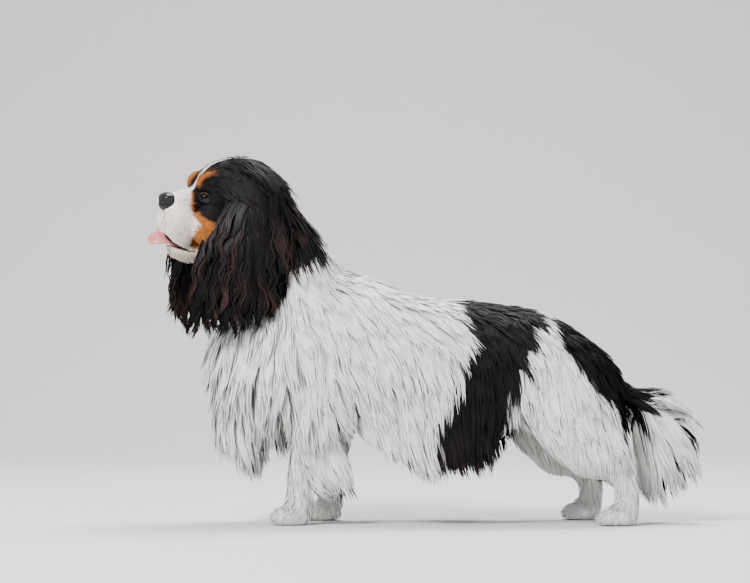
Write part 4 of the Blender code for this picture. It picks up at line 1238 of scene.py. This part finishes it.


# Colours of a tuft: its marking, a little lighter or darker, with painted shade at its root and brown tips
# that are partly painted highlight
def tuftColours(tufts, each, down):
    roots, length, zone = tufts["root"], tufts["length"], tufts["zone"]
    count = len(roots)
    at = tufts["path"][:, int(tufts["path"].shape[1] * tuftLook["along"])]
    seen = np.where((length > tuftLook["alongFrom"])[:, None], at, roots)
    speck = draw.normal(0, 1, (count, 3)) * tuftLook["speck"]
    speck = speck * (length > tuftLook["speckFrom"])[:, None]
    base = coatColour(seen + speck, zone)
    dark = base.sum(axis=1) < tuftLook["dark"]
    white = base.min(axis=1) > tuftLook["white"]
    tones = tuftLook["tones"]
    whiteTone = np.where(length < coat["rungs"][0], tones["face"], tones["white"])
    tone = 1 + draw.normal(0, 1, count) * np.where(white, whiteTone, tones["dark"])
    base = base * np.clip(tone, 0.6, 1.5)[:, None]
    # Painted shade: each tuft darkens towards its root, where the tufts over it would shade it
    rootShades = []
    for word in ("white", "dark"):
        root, growth = tuftLook["rootShade"][word]
        rootShades.append(root + (1 - root) * np.clip(down * growth, 0, 1))
    colour = np.repeat(base, each, axis=0) * np.where(np.repeat(white, each), *rootShades)[:, None]
    # Brown tips on black tufts, stronger towards the tip: partly the coat's own brown, partly painted
    # highlight of its sheen
    warm = ripple(roots, tuftLook["warmSize"], 4.0) * 1.3 + draw.normal(0, 0.35, count)
    warm = np.clip(warm, 0, 1) * dark
    warm = np.where(zone == zones["head"], warm * tuftLook["warmOnHead"], warm)
    fore, top, over, least = tuftLook["warmBack"]
    onBody = (zone == zones["body"]) & (roots[:, 0] > fore)
    warm = np.where(onBody, warm * np.clip((top - roots[:, 2]) / over, least, 1), warm)
    tips = np.clip(down * 1.6 - tuftLook["warmFrom"], 0, 1)
    return mixed(colour, tricolour["brownTipsAndSheen"], np.repeat(warm, each) * tips * tuftLook["warmMost"])


def meshFrom(name, points, faces, flat, colours):
    mesh = bpy.data.meshes.new(name)
    mesh.vertices.add(len(points))
    mesh.vertices.foreach_set("co", points.ravel())
    mesh.loops.add(len(faces) * 3)
    mesh.loops.foreach_set("vertex_index", faces.ravel())
    mesh.polygons.add(len(faces))
    mesh.polygons.foreach_set("loop_start", np.arange(len(faces)) * 3)
    mesh.polygons.foreach_set("loop_total", np.full(len(faces), 3))
    smooth(mesh)
    mesh.update(calc_edges=True)
    layer = mesh.uv_layers.new(name="OFBake")
    layer.data.foreach_set("uv", flat[faces.ravel()].ravel())
    paint(mesh, colours)
    return addObject(name, mesh)


def paint(mesh, colours):
    layer = mesh.color_attributes.new("coatColour", "FLOAT_COLOR", "POINT")
    whole = np.concatenate((np.clip(colours, 0, 1), np.ones((len(colours), 1))), axis=1)
    layer.data.foreach_set("color", whole.ravel())
    mesh.color_attributes.active_color = layer


# The material slot that a stretch of coat takes its finish from
def slotsOf(tufts):
    roots, zone = tufts["root"], tufts["zone"]
    slots = np.full(len(roots), "coat_body", dtype="<U10")
    slots[isLeg(roots)] = "coat_legs"
    slots[(roots[:, 0] > form["tailCoatFrom"]) & (roots[:, 2] > form["tailCoatAbove"])] = "coat_tail"
    slots[zone == zones["head"]] = "coat_head"
    slots[zone >= zones["earLeft"]] = "coat_ears"
    return slots


def paintedMaterial(name, roughness, specular):
    made = bpy.data.materials.new(name)
    made.use_nodes = True
    nodes, links = made.node_tree.nodes, made.node_tree.links
    shader = nodes["Principled BSDF"]
    colour = nodes.new("ShaderNodeVertexColor")
    colour.layer_name = "coatColour"
    links.new(colour.outputs["Color"], shader.inputs["Base Color"])
    shader.inputs["Roughness"].default_value = roughness
    shader.inputs["Specular IOR Level"].default_value = specular
    return made


# A fine relief from a texture, fixed to the object
def addRelief(made, texture, output, look):
    nodes, links = made.node_tree.nodes, made.node_tree.links
    where = nodes.new("ShaderNodeTexCoord")
    drawnOut = nodes.new("ShaderNodeMapping")
    drawnOut.inputs["Scale"].default_value = look["stretch"]
    grain = nodes.new(texture)
    grain.inputs["Scale"].default_value = look["scale"]
    bump = nodes.new("ShaderNodeBump")
    bump.inputs["Strength"].default_value = look["strength"]
    bump.inputs["Distance"].default_value = look["depth"]
    links.new(where.outputs["Object"], drawnOut.inputs["Vector"])
    links.new(drawnOut.outputs["Vector"], grain.inputs["Vector"])
    links.new(grain.outputs[output], bump.inputs["Height"])
    links.new(bump.outputs["Normal"], nodes["Principled BSDF"].inputs["Normal"])


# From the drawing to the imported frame, riding the one body
def putOn(obj):
    obj.data.transform(toWorld)
    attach(obj, "root")


def chosen(tufts, mask):
    return {word: values[mask] for word, values in tufts.items()}


finishes = {  # roughness and specular level
    "coat_body": (0.50, 0.22),
    "coat_head": (0.52, 0.20),
    "coat_ears": (0.40, 0.20),
    "coat_legs": (0.55, 0.20),
    "coat_tail": (0.52, 0.22),
}


# Tufts of one slot and length as joined meshes, none with too many triangles
def addTufts(tufts, slot, rung, material):
    word = ("short", "middle", "long")[rung]
    rings = coat["rings"][rung]
    if slot == "coat_ears" and word == "long":
        rings = coat["earRings"]
    order = np.argsort(tufts["root"][:, 0])
    trianglesEach = rings * 6 - 2
    parts = max(1, math.ceil(len(order) * trianglesEach / coat["piece"]))
    for k, some in enumerate(np.array_split(order, parts)):
        some = chosen(tufts, some)
        made = tuftMesh(some, rings, coat["relief"][rung])
        colours = tuftColours(some, rings * 3 + 1, made["down"])
        obj = meshFrom(f"{slot}_{word}_{k + 1}", made["points"], made["faces"], made["flat"], colours)
        obj.data.materials.append(material)
        putOn(obj)
        normals = obj.data.attributes.new("custom_normal", "FLOAT_VECTOR", "CORNER")
        normals.data.foreach_set("vector", made["shaded"].ravel())
    report(slot, rings, "rings:", len(order), "tufts")
    return len(order) * trianglesEach


def growCoat(skin, zone):
    tree = skinTree(skin)
    guides = scatter(skin, zone, coat["guideSpacing"])
    guides = chosen(guides, growsHair(guides["root"], guides["zone"]))
    growGuides(guides, tree)
    report(len(guides["root"]), "guides")
    apart, wider = ((1, 1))
    tufts = scatter(skin, zone, {word: value * apart for word, value in coat["spacing"].items()})
    tufts = chosen(tufts, growsHair(tufts["root"], tufts["zone"]))
    del guides["spacing"], tufts["spacing"]
    followGuides(tufts, guides)
    tufts["width"] *= wider
    slots = slotsOf(tufts)
    rungs = np.digitize(tufts["length"], coat["rungs"])
    total = 0
    for slot, look in finishes.items():
        material = paintedMaterial(slot + "_hair", *look)
        for rung in range(len(coat["rings"])):
            mine = chosen(tufts, (slots == slot) & (rungs == rung))
            if len(mine["root"]):
                total += addTufts(mine, slot, rung, material)
    report(len(tufts["root"]), "tufts,", total, "triangles")


skinFinish = {
    "look": (0.7, 0.25),
    "grain": {"scale": 420.0, "stretch": (1.0, 1.0, 0.35), "strength": 0.5, "depth": 0.0009},
    "mouth": (0.6, 40.0, 50.0),  # how near the opening, how far out and how far forward it is dark: its own dark red with painted shade of the opening
}


def finishSkin(skin, zone):
    bpy.context.view_layer.objects.active = skin
    skin.select_set(True)
    bpy.ops.object.mode_set(mode="EDIT")
    bpy.ops.mesh.select_all(action="SELECT")
    bpy.ops.uv.smart_project(angle_limit=math.radians(66), island_margin=0.001)
    bpy.ops.object.mode_set(mode="OBJECT")
    skin.data.uv_layers[0].name = "OFBake"
    places = pointsOf(skin.data)
    colours = coatColour(places, zone)
    local = inHead(places)
    near, out, fore = skinFinish["mouth"]
    inside = inMouth(local, near) & (zone == zones["head"])
    inside &= (np.abs(local[:, 1]) < out) & (local[:, 0] > fore)
    # The mouth's opening: the lips' and mouth's own dark colour, with painted shade of the hollow
    colours[inside] = tricolour["mouth"]
    smooth(skin.data)
    paint(skin.data, colours)
    made = paintedMaterial("skin", *skinFinish["look"])
    addRelief(made, "ShaderNodeTexNoise", "Fac", skinFinish["grain"])
    skin.data.materials.clear()
    skin.data.materials.append(made)


# Eyes: dark balls with a brown ring round a black middle, and lids that lie on them
eyeLook = {
    "iris": (0.014, 0.0055, 0.0025),
    "pupil": (0.002, 0.002, 0.002),
    "lidBrown": (0.045, 0.022, 0.013),
    "bare": (8.4, 6.0, 30.0),  # half width, half height and reach of the hairless rim
    "irisReach": 5.6,
    "pupilReach": 2.6,
    "width": 6.5,
    "top": 4.3,
    "bottom": 3.6,
    "almond": 1.15,  # above 1 the corners grow sharper
    "lidSides": 56,
    "lidThickness": 0.5,
    "lidBrownFrom": (5.0, 1.5),  # how far above the middle and how far off the ball
    "finish": (0.04, 0.5),
    "lidFinish": (0.55, 0.25),
    "profile": [(0.94, -0.3), (0.97, 0.5), (1.03, 1.2), (1.16, 1.7), (1.34, 1.8), (1.6, 1.2), (1.95, -1.0)],
    "tilt": math.radians(-22.0),
}


def makeEyes():
    shine = paintedMaterial("eye", *eyeLook["finish"])
    rim = paintedMaterial("lids", *eyeLook["lidFinish"])
    stand = Matrix.Rotation(math.pi / 2, 4, "Y")
    for side, word in ((1, "left"), (-1, "right")):
        ball = ellipsoid("eyeball_" + word, (0, 0, 0), (eye["radius"],) * 3, stand, 64, 40)
        places = pointsOf(ball.data)
        away = np.hypot(places[:, 1], places[:, 2])
        colour = plainColour(eyeLook["pupil"], places)
        iris = (away > eyeLook["pupilReach"]) & (away < eyeLook["irisReach"]) & (places[:, 0] > 0)
        colour[iris] = eyeLook["iris"]
        smooth(ball.data)
        paint(ball.data, colour)
        ball.data.transform(eyeMatrix(side))
        ball.data.materials.append(shine)
        putOn(ball)
        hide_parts("eye_" + word)
        lids = lidPiece(side, word)
        lids.data.materials.append(rim)
        putOn(lids)


def lidPiece(side, word):
    work = bmesh.new()
    count = eyeLook["lidSides"]
    rings = []
    for scale, out in eyeLook["profile"]:
        ring = []
        for k in range(count):
            angle = math.tau * k / count
            high = eyeLook["top"] if math.sin(angle) > 0 else eyeLook["bottom"]
            u = eyeLook["width"] * math.cos(angle) * scale
            v = high * signedPower(math.sin(angle), eyeLook["almond"]) * scale
            reach = math.hypot(u, v)
            bend = reach / eye["radius"]
            around = Vector((math.cos(bend), math.sin(bend) * u / reach, math.sin(bend) * v / reach))
            ring.append(work.verts.new(around * (eye["radius"] + out)))
        rings.append(ring)
    for before, after in zip(rings, rings[1:]):
        for k in range(count):
            work.faces.new((before[k], before[k - 1], after[k - 1], after[k]))
    made = fromBmesh("lids_" + word, work, lidMatrix(side))
    smooth(made.data)
    shell = made.modifiers.new("Solidify", "SOLIDIFY")
    shell.thickness = eyeLook["lidThickness"]
    shell.offset = -1
    applied(made)
    away = inHead(pointsOf(made.data)) - np.array(eyeCentre(side))
    colours = plainColour(tricolour["black"], away)
    above, out = eyeLook["lidBrownFrom"]
    upper = (away[:, 2] > above) & (np.linalg.norm(away, axis=1) > eye["radius"] + out)
    colours[upper] = eyeLook["lidBrown"]
    paint(made.data, colours)
    return made


# Nose: a dark pebbled leather with two nostrils, each with a slit that runs back and down, both darkened
# inside with painted shade
noseLook = {
    "centre": (88.5, 0.0, -4.3),
    "radii": (10.0, 13.5, 11.5),
    "nostril": ((97.0, 5.8, -4.2), (4.5, 2.9, 3.4), 4.6),  # middle, radii and depth
    "slit": ((93.5, 10.6, -8.0), (4.5, 3.8, 1.6), 2.4),
    "groove": (0.8, 1.3),  # width and depth
    "fullness": 0.88,  # below 1 the ball is squarer
    "topWider": 0.10,
    "rim": ((95.0, 8.6, -2.3), (5, 5, 6.5), 0.7),  # the raised wing round a nostril, and its height
    "colour": (0.014, 0.0145, 0.017),
    # painted shade inside the nostrils and slits: its colour and, below, its strength
    "hollow": (0.0015, 0.0015, 0.0015),
    "hollowEdge": 1.6,
    "hollowShade": 1.6,
    "finish": (0.34, 0.5),
    "pebbles": {"scale": 1100.0, "stretch": (1, 1, 1), "strength": 0.35, "depth": 0.0004},
}


def makeNose():
    radii = np.array(noseLook["radii"])
    nose = ellipsoid("noseLeather", (0, 0, 0), (1, 1, 1), None, 96, 64)
    ball = pointsOf(nose.data)
    shape = np.sign(ball) * np.abs(ball) ** noseLook["fullness"]
    shape[:, 1] *= 1 + noseLook["topWider"] * ball[:, 2]
    places = np.array(noseLook["centre"]) + shape * radii
    outward = unit(ball / radii)
    colour = plainColour(noseLook["colour"], places)
    for side in (1, -1):
        for word in ("nostril", "slit"):
            at, size, depth = noseLook[word]
            away = (places - np.array(at) * (1, side, 1)) / np.array(size)
            share = np.exp(-((away**2).sum(axis=1)) * noseLook["hollowEdge"])
            places = places - outward * (share * depth)[:, None]
            # painted shade darkens each nostril and slit where it is sunk
            colour = mixed(colour, noseLook["hollow"], np.clip(share * noseLook["hollowShade"], 0, 1))
        at, size, height = noseLook["rim"]
        rim = np.linalg.norm((places - np.array(at) * (1, side, 1)) / size, axis=1)
        places = places + outward * (np.exp(-((rim - 0.9) ** 2) * 7) * height)[:, None]
    wide, deep = noseLook["groove"]
    front = np.clip((ball[:, 0] - 0.3) * 2, 0, 1) * np.clip(0.5 - ball[:, 2] * 1.5, 0, 1)
    places = places - outward * (np.exp(-((places[:, 1] / wide) ** 2)) * front * deep)[:, None]
    movePoints(nose.data, places)
    smooth(nose.data)
    paint(nose.data, colour)
    nose.data.transform(head)
    leather = paintedMaterial("noseLeather", *noseLook["finish"])
    addRelief(leather, "ShaderNodeTexVoronoi", "Distance", noseLook["pebbles"])
    nose.data.materials.append(leather)
    putOn(nose)
    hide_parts("nose")


# Tongue: a soft slab with a groove along it, rolled to one side as it hangs out
tongueLook = {
    "line": [
        (56, 0, -60, 9, 2.4, 2.4),
        (75, 0, -52, 12, 2.8, 2.8),
        (89, 0, -45.5, 13.5, 3.2, 3.2),
        (101, 0, -46, 12.5, 3.2, 3.4),
        (109, 0, -50, 7, 2.4, 2.4),
    ],
    "roll": math.radians(-26.0),
    "pivot": (88, 0, -47),
    "lower": -1.6,
    "groove": (2.2, 1.3),  # width and depth
    "uneven": (1.1, 0.12),  # size and depth of its small bumps
    "edgeAt": 12.0,
    "colour": (0.62, 0.20, 0.22),
    "edge": (0.68, 0.28, 0.28),
    "finish": (0.32, 0.5),
    "glow": (0.15, 0.002),  # how much light goes in, and how far
}


def makeTongue():
    tongue = loft("tongueFlesh", tongueLook["line"], 40, 8)
    places = pointsOf(tongue.data)
    wide, deep = tongueLook["groove"]
    upper = normalsOf(tongue.data)[:, 2] > 0.2
    places[:, 2] -= np.exp(-((places[:, 1] / wide) ** 2)) * deep * upper
    size, depth = tongueLook["uneven"]
    places += normalsOf(tongue.data) * (ripple(places, size) * depth)[:, None]
    movePoints(tongue.data, places)
    share = np.clip(np.abs(places[:, 1]) / tongueLook["edgeAt"], 0, 1)
    paint(tongue.data, mixed(plainColour(tongueLook["colour"], places), tongueLook["edge"], share))
    smooth(tongue.data)
    tongue.data.transform(Matrix.Translation((0, 0, tongueLook["lower"])))
    pivot = Vector(tongueLook["pivot"])
    roll = Matrix.Rotation(tongueLook["roll"], 4, "X")
    turn = Matrix.Translation(pivot) @ roll @ Matrix.Translation(-pivot)
    tongue.data.transform(head @ turn)
    flesh = paintedMaterial("tongueFlesh", *tongueLook["finish"])
    inputs = flesh.node_tree.nodes["Principled BSDF"].inputs
    weight, reach = tongueLook["glow"]
    inputs["Subsurface Weight"].default_value = weight
    inputs["Subsurface Scale"].default_value = reach
    tongue.data.materials.append(flesh)
    putOn(tongue)
    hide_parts("tongue")


# The studio: a pale floor that bends up into a pale wall, soft lights and the camera
studio = {
    "pale": (0.72, 0.72, 0.71),
    "roughness": 0.9,
    "front": -6.0,
    "wall": 3.2,
    "bend": 1.4,
    "bendSteps": 12,
    "high": 4.0,
    "wide": 7.0,
    "camera": (-0.0624, -3.375, 0.218),
    "cameraTurn": math.radians(91.0),
    "lens": 135.0,
    "sensor": 36.0,
    "aim": (0, 0, 0.2),
    "lights": [  # name, place, size and power
        ("key", (-1.6, -2.3, 2.7), 1.3, 140.0),
        ("fill", (2.4, -2.4, 1.4), 2.4, 36.0),
        ("top", (0.2, 0.9, 2.6), 1.4, 70.0),
        ("catch", (-1.55, -0.65, 0.85), 0.22, 3.0),
    ],
    "sky": (0.93, 0.96, 1.0, 1),
    "skyLight": 0.34,
    "look": "AgX - Medium High Contrast",
}


def makeFloor():
    start, bend, steps = studio["wall"] - studio["bend"], studio["bend"], studio["bendSteps"]
    profile = [(studio["front"], 0.0), (start, 0.0)]
    for k in range(1, steps + 1):
        angle = math.pi / 2 * k / steps
        profile.append((start + math.sin(angle) * bend, bend - math.cos(angle) * bend))
    profile.append((studio["wall"], studio["high"]))
    work = bmesh.new()
    rows = [[work.verts.new((x, y, z)) for x in (-studio["wide"], studio["wide"])] for y, z in profile]
    for a, b in zip(rows, rows[1:]):
        work.faces.new((a[0], a[1], b[1], b[0]))
    floor = fromBmesh("studioFloor", work)
    smooth(floor.data)
    pale = bpy.data.materials.new("paleFloor")
    pale.use_nodes = True
    inputs = pale.node_tree.nodes["Principled BSDF"].inputs
    inputs["Base Color"].default_value = (*studio["pale"], 1)
    inputs["Roughness"].default_value = studio["roughness"]
    floor.data.materials.append(pale)


def makeStudio():
    scene = bpy.context.scene
    makeFloor()
    for name, at, size, power in studio["lights"]:
        lamp = bpy.data.lights.new(name, "AREA")
        lamp.size = size
        lamp.energy = power
        obj = addObject(name, lamp)
        obj.location = at
        obj.rotation_euler = (Vector(studio["aim"]) - Vector(at)).to_track_quat("-Z", "Y").to_euler()
    world = bpy.data.worlds.new("studio")
    world.use_nodes = True
    inputs = world.node_tree.nodes["Background"].inputs
    inputs["Color"].default_value = studio["sky"]
    inputs["Strength"].default_value = studio["skyLight"]
    scene.world = world
    scene.view_settings.look = studio["look"]
    lens = bpy.data.cameras.new("camera")
    lens.lens = studio["lens"]
    lens.sensor_width = studio["sensor"]
    camera = addObject("camera", lens)
    camera.location = Vector(studio["camera"]) + Vector(shift)
    camera.rotation_euler = (studio["cameraTurn"], 0, 0)
    scene.camera = camera


skin, skinZone = makeSkin()
finishSkin(skin, skinZone)
growCoat(skin, skinZone)
putOn(skin)
apart = ("eye_left", "eye_right", "nose", "tongue")
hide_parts(*[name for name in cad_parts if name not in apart])
makeEyes()
makeNose()
makeTongue()
report("eyes, nose and tongue")
makeStudio()
report("studio")
